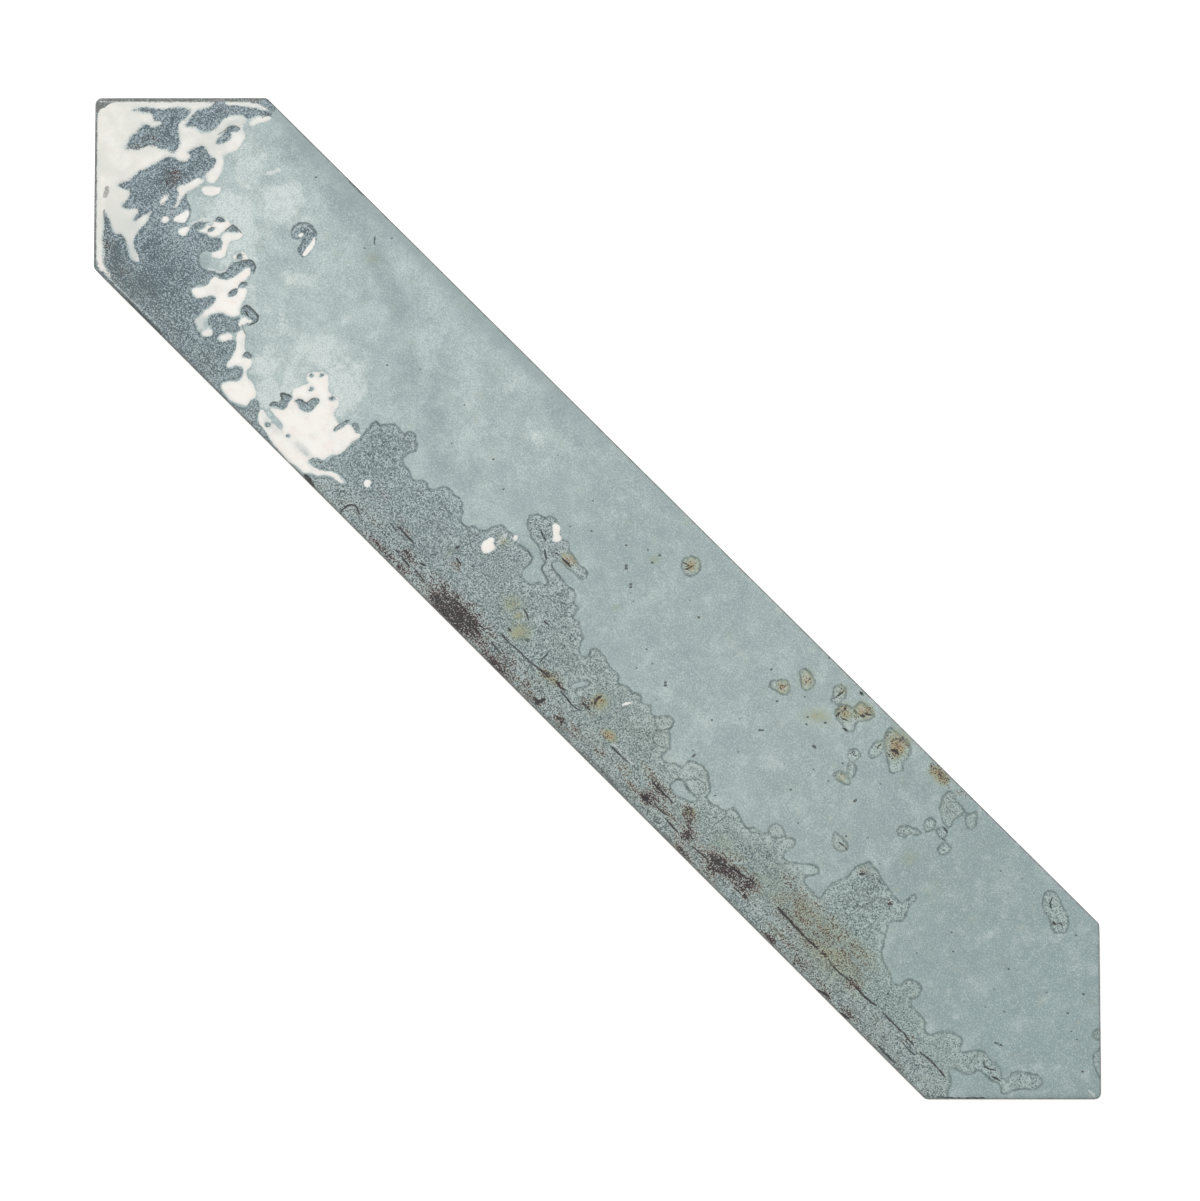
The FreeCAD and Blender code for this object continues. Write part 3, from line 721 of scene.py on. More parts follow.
tanStains = (
    (503, 541, 6, 6, 0, 0.5), (569, 560, 8, 6, 40, 0.9), (692, 565, 8, 8, 0, 0.8), (783, 687, 7, 7, 0, 0.8),
    (807, 679, 7, 9, 0, 0.8), (842, 690, 7, 7, 0, 0.5), (845, 712, 10, 9, 0, 0.7), (864, 711, 10, 8, 20, 0.9),
    (897, 744, 12, 14, 0, 0.9), (842, 777, 7, 6, 20, 0.6), (600, 702, 9, 9, 0, 0.7),
    (548, 677, 14, 7, 30, 0.5), (518, 616, 6, 5, 0, 0.6), (520, 632, 12, 10, 0, 0.6),
    (655, 560, 9, 7, 0, 0.35), (615, 608, 6, 5, 0, 0.35), (817, 716, 16, 9, 0, 0.5),
    (610, 736, 8, 5, 40, 0.9), (788, 786, 14, 6, 10, 0.22), (473, 412, 14, 8, 0, 0.22),
    (298, 330, 8, 8, 0, 0.2), (373, 258, 8, 8, 0, 0.35), (366, 246, 6, 6, 0, 0.22), (326, 331, 8, 6, 0, 0.2),
    (630, 521, 5, 5, 0, 0.3), (686, 523, 5, 5, 0, 0.3), (910, 858, 12, 9, 0, 0.35),
    (935, 890, 14, 16, 0, 0.25), (965, 905, 12, 8, 0, 0.15), (850, 945, 26, 18, 40, 0.28),
    (805, 915, 24, 20, 45, 0.35), (700, 617, 8, 5, 0, 0.25), (880, 745, 5, 5, 0, 0.4),
    (939, 775, 12, 7, 45, 0.8), (512, 604, 14, 12, 0, 0.42), (826, 928, 34, 18, 40, 0.34),
    (780, 900, 18, 14, 40, 0.3), (870, 960, 22, 16, 40, 0.3), (725, 845, 26, 10, 45, 0.3),
    (978, 1055, 9, 5, 0, 0.25), (713, 719, 8, 4, 0, 0.18), (450, 552, 6, 6, 0, 0.3),
    (690, 812, 10, 8, 0, 0.4), (826, 960, 56, 26, 45, 0.42), (776, 932, 20, 7, 45, 0.4),
)
# where the stippled glaze is darker, and where it is lighter
darkStipple = (
    (474, 633, 24, 9, 45, 1.3), (455, 612, 26, 9, 45, 0.7), (116, 262, 16, 26, 0, 1.1),
    (140, 285, 30, 16, 40, 1.1), (150, 270, 40, 40, 0, 0.5), (171, 176, 8, 10, 0, 1.3),
    (892, 878, 20, 14, 0, 0.7), (155, 138, 22, 12, 0, 0.5), (170, 125, 12, 22, 0, 0.4),
    (200, 160, 16, 12, 0, 0.45), (215, 345, 22, 22, 0, 0.35), (230, 325, 12, 8, 0, 0.4),
    (215, 112, 30, 8, 0, 0.35), (165, 330, 30, 20, 45, 0.3), (350, 480, 30, 20, 45, 0.2),
    (395, 540, 50, 16, 45, 0.3), (490, 640, 60, 16, 45, 0.4), (620, 780, 80, 14, 45, 0.3),
    (710, 862, 60, 16, 45, 0.35), (820, 940, 90, 22, 45, 0.3), (395, 440, 26, 16, 0, 0.15),
    (900, 1050, 50, 16, 45, 0.2), (920, 870, 22, 16, 0, 0.3), (502, 658, 24, 8, 45, 0.9),
    (408, 568, 14, 7, 45, 0.8), (819, 968, 40, 15, 45, 0.9), (776, 931, 20, 9, 45, 0.9),
    (498, 656, 26, 10, 45, 1.2),
)
lightStipple = (
    (853, 755, 9, 9, 0, 2.0), (877, 748, 9, 10, -40, 1.0), (840, 841, 9, 12, -20, 1.7),
    (846, 776, 8, 9, -40, 1.4), (845, 698, 9, 14, 0, 1.2), (864, 712, 9, 8, 0, 0.9), (848, 726, 7, 7, 0, 1.8),
    (808, 684, 7, 10, 0, 1.2), (784, 684, 7, 7, 0, 1.0), (892, 768, 9, 9, 0, 1.5),
    (1047, 1096, 16, 8, 10, 0.4), (940, 1050, 22, 14, 30, 0.6), (1090, 1068, 10, 16, 0, 1.0),
    (690, 770, 9, 12, -20, 1.3), (692, 784, 8, 8, -20, 1.0), (865, 905, 26, 16, 45, 0.2),
    (175, 214, 16, 26, 0, 1.3), (186, 246, 16, 16, 0, 0.9), (172, 182, 10, 8, 0, 0.6),
    (574, 563, 10, 12, 0, 0.6), (1005, 1080, 10, 10, 0, 0.5), (692, 565, 9, 9, 0, 1.2),
    (775, 829, 8, 8, 0, 1.2), (786, 843, 12, 7, 0, 1.0), (805, 870, 14, 7, 0, 1.2), (660, 725, 8, 8, 0, 0.8),
    (662, 738, 8, 8, 0, 0.8), (640, 722, 8, 8, 0, 0.8), (670, 772, 7, 7, 0, 0.8), (925, 885, 12, 10, 0, 0.8),
)
# painted reflections in the pale glaze, laid on as pale clouds, and the painted shadows between them
paleReflections = (
    (255, 160, 22, 26, 20, 0.8), (284, 200, 26, 26, 0, 1.35), (232, 200, 20, 24, 0, 0.6),
    (275, 245, 20, 14, 0, 0.4), (300, 175, 16, 12, 0, 0.5), (305, 215, 14, 16, 0, 0.5),
    (275, 172, 10, 4, -20, 0.6), (300, 278, 26, 16, 0, 0.6), (345, 270, 14, 22, 20, 0.5),
    (275, 330, 24, 30, 0, 0.5), (335, 325, 22, 20, 0, 0.5), (355, 365, 18, 20, 0, 0.6),
    (300, 365, 22, 14, 0, 0.5), (370, 330, 14, 18, 0, 0.4), (435, 335, 16, 14, 0, 0.35),
    (465, 405, 18, 14, 0, 0.4), (513, 380, 14, 20, 20, 0.55), (540, 440, 14, 34, -20, 0.55),
    (500, 440, 12, 24, -10, 0.35), (425, 300, 10, 20, -20, 0.3), (535, 575, 14, 12, 0, 0.4),
    (590, 515, 14, 20, 0, 0.3), (620, 560, 20, 20, 0, 0.2), (720, 620, 20, 12, 0, 0.3),
    (690, 640, 30, 20, 45, 0.2), (640, 650, 24, 24, 0, 0.25), (770, 790, 30, 20, 45, 0.2),
    (1010, 1060, 30, 20, 0, 0.2), (320, 240, 12, 14, 0, 0.25), (245, 300, 10, 20, 0, 0.4),
    (232, 226, 28, 32, 0, 1.6), (242, 258, 16, 18, 0, 1.0), (244, 132, 12, 10, 0, 0.8),
    (246, 182, 14, 14, 0, 0.7), (266, 396, 20, 18, 0, 1.5), (262, 368, 24, 20, 0, 1.0),
    (318, 352, 26, 22, 0, 1.2), (346, 386, 18, 30, 0, 1.4), (252, 300, 10, 24, 0, 0.7),
    (268, 228, 12, 14, 0, 0.8), (240, 345, 10, 16, 0, 0.8), (366, 446, 12, 10, 0, 0.8),
    (292, 280, 14, 12, 0, 0.8), (291, 384, 12, 18, 0, 1.3), (362, 446, 14, 12, 0, 1.1),
)
paleShadows = (
    (300, 158, 36, 14, 45, 1.3), (343, 208, 50, 15, 45, 1.1), (388, 285, 13, 50, -20, 1.1),
    (366, 235, 12, 22, -20, 0.9), (412, 362, 14, 30, 0, 0.9), (438, 400, 14, 60, 0, 0.8),
    (440, 460, 14, 24, 0, 0.8), (556, 420, 14, 22, -20, 0.8), (604, 566, 16, 20, 0, 0.7),
    (916, 782, 26, 14, 45, 0.8), (900, 872, 26, 18, 0, 0.9), (366, 302, 10, 16, 0, 0.6),
    (278, 179, 12, 5, -10, 0.8), (285, 160, 18, 9, 25, 0.8), (400, 390, 22, 22, 0, 0.6),
    (440, 320, 12, 10, 0, 0.3), (475, 470, 16, 16, 0, 0.3), (570, 440, 12, 40, -20, 0.4),
    (600, 570, 16, 20, 0, 0.35), (310, 300, 8, 6, 0, 0.3), (325, 250, 10, 10, 0, 0.35),
    (480, 340, 40, 6, 45, 0.3), (520, 480, 30, 10, 45, 0.25), (925, 870, 30, 20, 45, 0.3),
    (1000, 900, 60, 40, 45, 0.2), (1070, 960, 20, 40, 0, 0.2), (850, 830, 30, 20, 45, 0.2),
    (260, 245, 10, 8, 0, 0.2), (203, 258, 8, 9, 0, 1.7),
)
# where the edge of the painted cream reflections is soft, and where they are painted dimmer
softReflection = (
    (204, 320, 16, 18, 0, 1.0), (222, 337, 12, 8, 0, 0.8), (336, 410, 9, 18, 0, 0.9),
    (303, 449, 14, 6, 45, 0.9), (232, 150, 20, 14, 0, 0.3), (125, 228, 30, 34, 0, 0.9),
)
dimReflection = (
    (333, 408, 7, 14, 0, 0.4), (303, 449, 12, 5, 45, 0.8), (271, 424, 16, 4, 50, 0.6),
    (350, 445, 14, 6, -40, 0.1), (215, 290, 18, 6, 0, 0.2), (243, 350, 5, 16, 0, 0.3),
    (182, 160, 20, 5, -30, 0.2), (128, 226, 20, 12, 0, 0.9), (212, 146, 14, 10, 0, 0.55),
    (210, 132, 12, 7, 0, 0.45), (262, 120, 12, 6, 0, 0.3), (108, 205, 6, 22, 0, 0.35),
    (107, 191, 5, 8, 0, 0.7), (236, 123.5, 14, 5, -8, 1.2), (221, 131, 6, 6, 0, 0.8),
    (122, 150, 4, 30, 10, 0.12), (200, 323, 9, 11, 0, 1.0), (207, 334, 10, 6, 0, 0.4),
    (283, 440, 14, 8, 45, 0.25), (305, 455, 16, 5, 35, 0.25), (240, 260, 10, 6, 0, 0.3),
    (338, 410, 5, 14, 0, 0.1), (200, 292, 10, 6, 0, 0.2), (132, 250, 6, 14, -20, 1.3),
    (110, 222, 10, 14, 0, 0.35), (124, 246, 12, 14, 0, 0.6), (222, 155, 8, 5, 0, 0.4),
)
# pinholes burst in the pale glaze: the middle and the radius in pixels
pinholes = (
    (504, 490, 1.5), (494, 460, 1.4), (465, 405, 1.2), (452, 444, 1.1), (387, 364, 1.4), (420, 370, 1.0),
    (593, 502, 1.3), (592, 531, 1.4), (570, 528, 1.2), (627, 546, 1.5), (626, 566, 1.9), (627, 569, 1.9),
    (630, 584, 1.9), (630, 587, 1.7), (632, 593, 1.1), (634, 601, 1.1), (659, 555, 1.7), (653, 562, 1.6),
    (648, 550, 1.2), (698, 617, 1.8), (690, 600, 1.1), (646, 649, 1.2), (653, 663, 1.2), (637, 668, 1.2),
    (665, 682, 1.8), (666, 686, 2.0), (658, 700, 0.9), (777, 701, 1.6), (713, 720, 1.3), (739, 718, 1.0),
    (761, 730, 1.7), (763, 731, 1.6), (693, 756, 1.6), (695, 755, 1.4), (693, 750, 1.0), (814, 746, 1.9),
    (816, 747, 1.7), (814, 769, 1.3), (808, 716, 1.5), (806, 724, 1.5), (824, 723, 1.7), (842, 764, 1.5),
    (790, 789, 1.5), (829, 781, 1.2), (771, 670, 1.6), (806, 697, 1.3), (829, 657, 1.4), (855, 802, 1.6),
    (857, 800, 1.2), (738, 751, 1.2), (716, 795, 1.2), (798, 822, 1.1), (846, 835, 1.3), (868, 837, 1.1),
    (951, 932, 1.3), (954, 951, 1.3), (1010, 969, 1.5), (994, 990, 1.0), (1004, 1011, 1.2), (916, 953, 1.1),
    (987, 1007, 1.0), (1046, 992, 1.2), (1084, 993, 1.8), (1067, 1013, 1.6), (1072, 1031, 1.3),
    (1077, 1040, 1.3), (1083, 1072, 1.8), (1002, 871, 1.1), (1034, 893, 1.1), (1075, 935, 1.4),
    (1023, 878, 1.0), (1008, 893, 0.9), (881, 785, 1.1), (748, 715, 0.9), (611, 629, 0.9), (316, 177, 1.3),
    (364, 248, 1.3), (391.7, 239.4, 1.2), (640, 630, 0.8), (672, 645, 0.8), (558, 455, 0.9), (529, 515, 1.0),
    (880, 863, 1.2), (887, 994, 1.6),
)


def glazeMarks(plan):
    # every mark of the glazes at the given places, as named values
    stipple = shapeDistance(plan, (stippleBody,) + stippleIslands)
    openings = shapeDistance(plan, paleOpenings)
    pale = np.maximum(-stipple, openings)
    beads = shapeDistance(plan, creamGlintBeads)
    cream = np.maximum(np.minimum(shapeDistance(plan, creamReflectionPatches), pale), beads)
    strokeNear, strokeSide, strokeTone = strokeDistances(plan, inkStrokes + cellWallsAndShade + lightStrokes)
    inStipple = smoothStep(-pale, -marking["glazeBlend"], marking["glazeBlend"])
    inReflection = smoothStep(cream, -marking["glazeBlend"], marking["glazeBlend"])
    # positive where a glaze is paler than it is round there, negative where it is darker: in the pale glaze
    # these are painted reflections and painted shadows, in the stippled glaze its own tone, and on the cream
    # reflections their painted dimmer parts
    depthOfPale = softMarks(plan, paleReflections) - softMarks(plan, paleShadows)
    depthOfStipple = softMarks(plan, lightStipple) - softMarks(plan, darkStipple)
    depth = depthOfPale * (1 - inStipple) + depthOfStipple * inStipple
    depth = depth * (1 - inReflection) - softMarks(plan, dimReflection) * inReflection
    return {
        "paleGlaze": pale,
        "creamReflection": cream,
        "creamGlintBeads": beads,
        "strokeNear": strokeNear,
        "strokeSide": strokeSide,
        "strokeTone": strokeTone,
        "pinhole": pinholeDistance(plan, pinholes),
        "iron": softMarks(plan, ironStains),
        "tan": softMarks(plan, tanStains),
        "softReflection": softMarks(plan, softReflection),
        "depth": depth,
    }


def nearPointMark(x, side, point):
    # 1 beside the two edges of the near point, 0 elsewhere
    return smoothStep(side - point, 0.0, marking["nearPointBlend"]) * (x < 0)


def evenSheet():
    # a grid of square cells, cut along the four edges of the points
    bm = bmesh.new()
    reach = tile["length"] / 2
    cellsLong = round(tile["length"] * tile["cellsAcross"] / tile["width"])
    bmesh.ops.create_grid(bm, x_segments=cellsLong, y_segments=tile["cellsAcross"], size=1.0,
                          matrix=Matrix.Diagonal((reach, tile["width"] / 2, 1.0, 1.0)))
    for signX, signY in quarters:
        bmesh.ops.bisect_plane(bm, geom=bm.verts[:] + bm.edges[:] + bm.faces[:], dist=cutSlack,
                               plane_co=(signX * reach, 0, 0), plane_no=(signX, signY, 0), clear_outer=True)
    return bm


def addWallRows(bm, rollFoot):
    # rows of the wall below the rolled edge: height, how far it has leaned in, and its vertices
    taper = tile["taperHeight"]
    inset = tile["taperInset"]
    rows = (
        (rollFoot - tile["wallRowGap"], 0.0),
        (taper + tile["wallRowGap"], 0.0),
        (taper, 0.0),
        (tile["taperMiddle"], inset * (1 - tile["taperMiddle"] / taper)),
        (tile["footChamfer"], inset),
        (0.0, inset + tile["footChamfer"]),
    )
    ring = [edge for edge in bm.edges if edge.is_boundary]
    wallRows = []
    for height, leanedIn in rows:
        made = bmesh.ops.extrude_edge_only(bm, edges=ring)["geom"]
        ring = [item for item in made if isinstance(item, bmesh.types.BMEdge) and item.is_boundary]
        wallRows.append((height, leanedIn, [item for item in made if isinstance(item, bmesh.types.BMVert)]))
    return wallRows, ring


def shapeFace(verts):
    # plan places of the face, then its heights; gives back the marks of the glazes on it
    places = np.array([vert.co[:2] for vert in verts])
    side, point = edgeDistances(places[:, 0], places[:, 1])
    evenDistance = np.minimum(side, point)
    fromEdge = drawnIn(evenDistance)
    x, y = shapedOutline(places[:, 0], places[:, 1])
    marks = glazeMarks(np.stack([x, y], axis=1))

    level = faceHeight(x, y)
    pale = marks["paleGlaze"]
    step = smoothStep(pale, -relief["paleSlope"], relief["paleSlope"])
    bead = np.exp(-((pale - relief["paleBeadPlace"]) / relief["paleBeadWidth"]) ** 2)
    level += relief["paleRise"] * (step - relief["paleShare"]) + relief["paleBead"] * bead
    level += relief["creamRise"] * smoothStep(marks["creamReflection"], *relief["creamSlope"])
    level += relief["beadRise"] * smoothStep(marks["creamGlintBeads"], *relief["beadSlope"])
    stroke = np.exp(-(marks["strokeNear"] / relief["strokeReach"]) ** 2)
    level -= relief["strokeDip"] * stroke * marks["strokeTone"]
    level -= relief["pinholeDip"] * smoothStep(marks["pinhole"], *relief["pinholeSlope"])
    pillow = tile["topPlane"] - tile["pillowFall"] * (1 - fromEdge / tile["pillowWidth"])
    level = softLeast(level, pillow, tile["pillowBlend"])
    turn = np.clip(evenDistance / tile["rollReach"], 0, 1) * math.pi / 2
    level -= tile["rollRadius"] * (1 - np.sin(turn))
    for index, vert in enumerate(verts):
        vert.co = (x[index], y[index], level[index])

    fromNearPoint = drawnIn((tile["length"] / 2 + x + np.abs(y)) / math.sqrt(2))
    marks["rim"] = softLeast(fromEdge, fromNearPoint, marking["rimBlend"])
    marks["nearPointRim"] = nearPointMark(x, side, point)
    return marks


def shapeWalls(wallRows, rollFoot):
    # moves the rows of the wall into place; they carry on the marks of the rim above them
    rows = []
    ringMarks = None
    for height, inset, verts in wallRows:
        verts.sort(key=lambda vert: (round(vert.co.x, 3), round(vert.co.y, 3)))
        places = np.array([vert.co[:2] for vert in verts])
        x, y = shapedOutline(places[:, 0], places[:, 1])
        if ringMarks is None:
            ringMarks = glazeMarks(np.stack([x, y], axis=1))
            ringMarks["strokeNear"] = np.full(len(verts), marking["reach"])
            ringMarks["pinhole"] = np.full(len(verts), -marking["reach"])
            ringMarks["iron"] *= marking["wallIron"]
            ringMarks["nearPointRim"] = nearPointMark(x, *edgeDistances(places[:, 0], places[:, 1]))
        rows.append({**ringMarks, "rim": np.full(len(verts), height - rollFoot)})
        for index, vert in enumerate(verts):
            outX, outY = outwardNormal(x[index], y[index])
            vert.co = (x[index] - outX * inset, y[index] - outY * inset, height)
    return rows


def inGroove(y):
    return any(abs(y - centre) < tile["grooveWidth"] / 2 for centre in tile["grooveCentres"])


def cutBack(bm, place, normal, wanted):
    # cuts the wanted faces of the back along a plane
    back = [face for face in bm.faces if face.material_index == clayIndex]
    faces = [face for face in back if wanted(face.calc_center_median())]
    edges = {edge for face in faces for edge in face.edges}
    verts = {vert for face in faces for vert in face.verts}
    bmesh.ops.bisect_plane(bm, geom=list(verts) + list(edges) + faces, dist=cutSlack, plane_co=place,
                           plane_no=normal)


def fillBack(bm, ring):
    # the back, with its keying grooves
    for face in bmesh.ops.edgeloop_fill(bm, edges=ring, mat_nr=clayIndex)["faces"]:
        face.material_index = clayIndex
    for centre in tile["grooveCentres"]:
        for edge in (-1, 1):
            mouth = centre + edge * tile["grooveWidth"] / 2
            cutBack(bm, (0, mouth, 0), (0, 1, 0), lambda place: True)
    field = tile["length"] / 2 - tile["grooveBorder"] * math.sqrt(2)
    for signX, signY in quarters:
        cutBack(bm, (signX * field, 0, 0), (signX, signY, 0),
                lambda place: inGroove(place.y) and place.y * signY > 0)
    grooves = []
    for face in bm.faces:
        middle = face.calc_center_median()
        if face.material_index == clayIndex and inGroove(middle.y) and abs(middle.x) < tile["length"] / 4:
            grooves.append(face)
    bmesh.ops.inset_individual(bm, faces=grooves, thickness=tile["grooveDraft"], depth=-tile["grooveDepth"],
                               use_even_offset=True)


def makeTile():
    print("tile mesh")
    bm = evenSheet()
    faceVerts = list(bm.verts)
    rollFoot = tile["topPlane"] - tile["pillowFall"] - tile["rollRadius"]
    wallRows, ring = addWallRows(bm, rollFoot)
    print("glaze shapes")
    rows = [shapeFace(faceVerts)] + shapeWalls(wallRows, rollFoot)
    print("back")
    fillBack(bm, ring)
    bmesh.ops.scale(bm, vec=(1 / metre, 1 / metre, 1 / metre), verts=bm.verts)
    bmesh.ops.recalc_face_normals(bm, faces=bm.faces)
    bm.verts.index_update()
    order = [vert.index for vert in faceVerts]
    for height, inset, verts in wallRows:
        order += [vert.index for vert in verts]

    mesh = bpy.data.meshes.new("glazed_picket_tile")
    bm.to_mesh(mesh)
    bm.free()
    for name in rows[0]:
        layer = mesh.attributes.new(name, "FLOAT", "POINT")
        values = np.zeros(len(mesh.vertices), dtype=np.float32)
        values[order] = np.concatenate([row[name] for row in rows])
        layer.data.foreach_set("value", values)
    mesh.shade_smooth()
    piece = bpy.data.objects.new("glazed_picket_tile", mesh)
    bpy.context.collection.objects.link(piece)
    return piece


def colour(red, green, blue):
    # a colour as it is seen on screen, 0 to 255, made linear
    linear = []
    for part in (red, green, blue):
        part /= 255
        linear.append(part / 12.92 if part <= 0.04045 else ((part + 0.055) / 1.055) ** 2.4)
    return (*linear, 1.0)


class Nodes:
    # the nodes of one tree: each way of adding one gives back its output
    def __init__(self, tree):
        self.tree = tree

    def add(self, kind, **settings):
        node = self.tree.nodes.new(kind)
        for name, value in settings.items():
            setattr(node, name, value)
        return node

    def feed(self, socket, value):
        if hasattr(value, "links"):
            self.tree.links.new(value, socket)
        else:
            socket.default_value = value

    def coordinates(self):
        return self.add("ShaderNodeTexCoord").outputs["Object"]

    def mark(self, name):
        return self.add("ShaderNodeAttribute", attribute_name=name).outputs["Fac"]

    def mix(self, mask, first, second):
        node = self.add("ShaderNodeMix", data_type="RGBA")
        self.feed(node.inputs[0], mask)
        self.feed(node.inputs[6], first)
        self.feed(node.inputs[7], second)
        return node.outputs[2]

    def fade(self, value, fromLow, fromHigh, toLow=0.0, toHigh=1.0, smooth=True):
        node = self.add("ShaderNodeMapRange", interpolation_type="SMOOTHSTEP" if smooth else "LINEAR")
        names = ("Value", "From Min", "From Max", "To Min", "To Max")
        for name, setting in zip(names, (value, fromLow, fromHigh, toLow, toHigh)):
            self.feed(node.inputs[name], setting)
        return node.outputs["Result"]

    def calculate(self, operation, *values):
        node = self.add("ShaderNodeMath", operation=operation)
        for socket, value in zip(node.inputs, values):
            self.feed(socket, value)
        return node.outputs[0]

    def times(self, *values):
        result = values[0]
        for value in values[1:]:
            result = self.calculate("MULTIPLY", result, value)
        return result

    def plus(self, *values):
        result = values[0]
        for value in values[1:]:
            result = self.calculate("ADD", result, value)
        return result

    def most(self, first, second):
        return self.calculate("MAXIMUM", first, second)

    def centred(self, field, amount):
        # a noise that swings evenly about nought
        return self.calculate("MULTIPLY_ADD", field, amount, -amount / 2)

    def shifted(self, value, field, amount):
        # moves a mark's edge in and out by a noise
        return self.plus(value, self.centred(field, amount))

    def noise(self, vector, scale, detail, roughness, stretch=None):
        # stretch is how the noise is drawn out along each way of the tile
        if stretch:
            mapping = self.add("ShaderNodeMapping")
            self.feed(mapping.inputs["Vector"], vector)
            self.feed(mapping.inputs["Scale"], stretch)
            vector = mapping.outputs["Vector"]
        node = self.add("ShaderNodeTexNoise", noise_dimensions="3D")
        inputs = {"Vector": vector, "Scale": scale, "Detail": detail, "Roughness": roughness}
        for name, value in inputs.items():
            self.feed(node.inputs[name], value)
        return node.outputs["Fac"]

    def cells(self, vector, scale, feature="F1"):
        node = self.add("ShaderNodeTexVoronoi", feature=feature)
        self.feed(node.inputs["Vector"], vector)
        self.feed(node.inputs["Scale"], scale)
        return node.outputs["Distance"]

    def warped(self, vector, scale, amount):
        # the same place pushed about by a noise, in metres
        node = self.add("ShaderNodeTexNoise", noise_dimensions="3D")
        self.feed(node.inputs["Vector"], vector)
        self.feed(node.inputs["Scale"], scale)
        push = self.add("ShaderNodeVectorMath", operation="MULTIPLY_ADD")
        self.feed(push.inputs[0], node.outputs["Color"])
        self.feed(push.inputs[1], (amount, amount, amount))
        self.feed(push.inputs[2], vector)
        return push.outputs[0]

    def ramp(self, value, stops):
        node = self.add("ShaderNodeValToRGB")
        self.feed(node.inputs["Fac"], value)
        while len(node.color_ramp.elements) < len(stops):
            node.color_ramp.elements.new(0.5)
        for element, (place, shade) in zip(node.color_ramp.elements, stops):
            element.position = place
            element.color = colour(*shade)
        return node.outputs["Color"]

    def bump(self, height, distance):
        node = self.add("ShaderNodeBump")
        self.feed(node.inputs["Strength"], 1.0)
        self.feed(node.inputs["Distance"], distance)
        self.feed(node.inputs["Height"], height)
        return node.outputs["Normal"]


# Bare buff clay, below the glaze line and on the back
clay = {
    "light": (221, 209, 190),
    "dark": (186, 170, 147),
    "fleck": (120, 98, 74),
    "roughness": 0.85,
    "bumpHeight": 0.00008,       # metres
    "sand": {"scale": 1400, "detail": 3.0, "roughness": 0.65},
    "drift": {"scale": 90, "detail": 3.0, "roughness": 0.5, "stretch": (0.35, 1.0, 1.0)},
    "flecks": {"scale": 620, "detail": 1.0, "roughness": 0.4},
}


def clayGroup():
    group = bpy.data.node_groups.new("bareClay", "ShaderNodeTree")
    for name, way, kind in (("Light", "INPUT", "Color"), ("Dark", "INPUT", "Color"),
                            ("Colour", "OUTPUT", "Color"), ("Grain", "OUTPUT", "Float")):
        group.interface.new_socket(name=name, in_out=way, socket_type="NodeSocket" + kind)
    n = Nodes(group)
    taken = n.add("NodeGroupInput")
    given = n.add("NodeGroupOutput")
    coords = n.coordinates()
    sand = n.noise(coords, **clay["sand"])
    drift = n.noise(coords, **clay["drift"])
    tone = n.plus(n.times(sand, 0.55), n.times(drift, 0.45))
    base = n.mix(n.fade(tone, 0.36, 0.64, smooth=False), taken.outputs["Dark"], taken.outputs["Light"])
    fleck = n.fade(n.noise(coords, **clay["flecks"]), 0.70, 0.76)
    base = n.mix(n.times(fleck, 0.6), base, colour(*clay["fleck"]))
    n.feed(given.inputs["Colour"], base)
    n.feed(given.inputs["Grain"], sand)
    return group


def placeClay(n, group):
    node = n.add("ShaderNodeGroup", node_tree=group)
    n.feed(node.inputs["Light"], colour(*clay["light"]))
    n.feed(node.inputs["Dark"], colour(*clay["dark"]))
    return node.outputs["Colour"], node.outputs["Grain"]


# Colours of the glazes as they are seen. Lists run from the near point to the far one: place, then colour
glaze = {
    "stippleGround": ((0.00, (92, 107, 114)), (0.16, (98, 114, 120)), (0.30, (125, 140, 142)),
                      (0.60, (131, 145, 142)), (1.00, (133, 150, 148))),
    "stippleSpeck": ((0.00, (158, 174, 180)), (0.20, (162, 178, 182)), (0.35, (176, 189, 190)),
                     (0.60, (178, 192, 188)), (1.00, (170, 187, 184))),
    "pale": ((0.00, (180, 194, 193)), (0.20, (175, 191, 190)), (0.33, (174, 190, 189)),
             (0.47, (159, 176, 175)), (0.58, (160, 177, 176)), (0.68, (160, 176, 175)),
             (0.82, (145, 164, 163)), (0.92, (144, 164, 164)), (1.00, (139, 159, 159))),
    "lowEdgeTones": ((0.30, (112, 126, 130)), (0.44, (138, 152, 151)), (0.54, (156, 168, 163)),
                     (0.62, (146, 146, 124)), (0.70, (118, 108, 92))),     # along a noise, not along the tile
    # the next two lighten and darken the pale glaze, for its painted reflections and painted shadows as well
    # as its own mottle
    "paleMottleAndSheen": (214, 224, 221),
    "paleShadow": (134, 150, 151),
    "paleWarm": (184, 186, 164),
    # grey of the line where the pale glaze ends, partly painted shade, and of the cell walls
    "outline": (92, 108, 109),
    "stippleDark": (70, 84, 90),
    "olive": (124, 126, 100),
    # the next four colour the painted reflections of the softbox: cream, warmer, dimmer, and in the corner of
    # the near point
    "cream": (245, 242, 236),
    "creamWarm": (238, 226, 218),
    "reflectionDim": (198, 204, 202),
    "creamCorner": (217, 218, 211),
    # dark lines and pinholes, and the painted shade arcs among the lines
    "inkAndShade": (40, 38, 38),
    # light lines, one of them a painted glint
    "strokeLight": (214, 219, 216),
    "iron": (99, 86, 76),
    "ironRed": (99, 65, 57),
    "ironDark": (46, 43, 46),
    "ironPale": (124, 104, 78),
    "fleckDark": (74, 76, 76),
    "fleckLight": (184, 197, 197),
    "tan": (164, 162, 122),
    "tanStrong": (170, 148, 108),
    "tanTint": (148, 162, 134),
    "rimDark": (96, 95, 92),
    # a painted highlight on the rolled edge of the near point
    "lipGlint": (232, 231, 224),
    "paleRoughness": 0.16,
    "stippleRoughness": 0.42,
    "bumpHeight": 0.00003,       # metres
    "runLineFoot": 0.0012,       # where the glaze ends on the wall, from here up to
    "runLineWander": 0.0034,     # this much higher
    "leftRimShift": 0.62,        # millimetres that the near point's rim is narrower by on its left
}

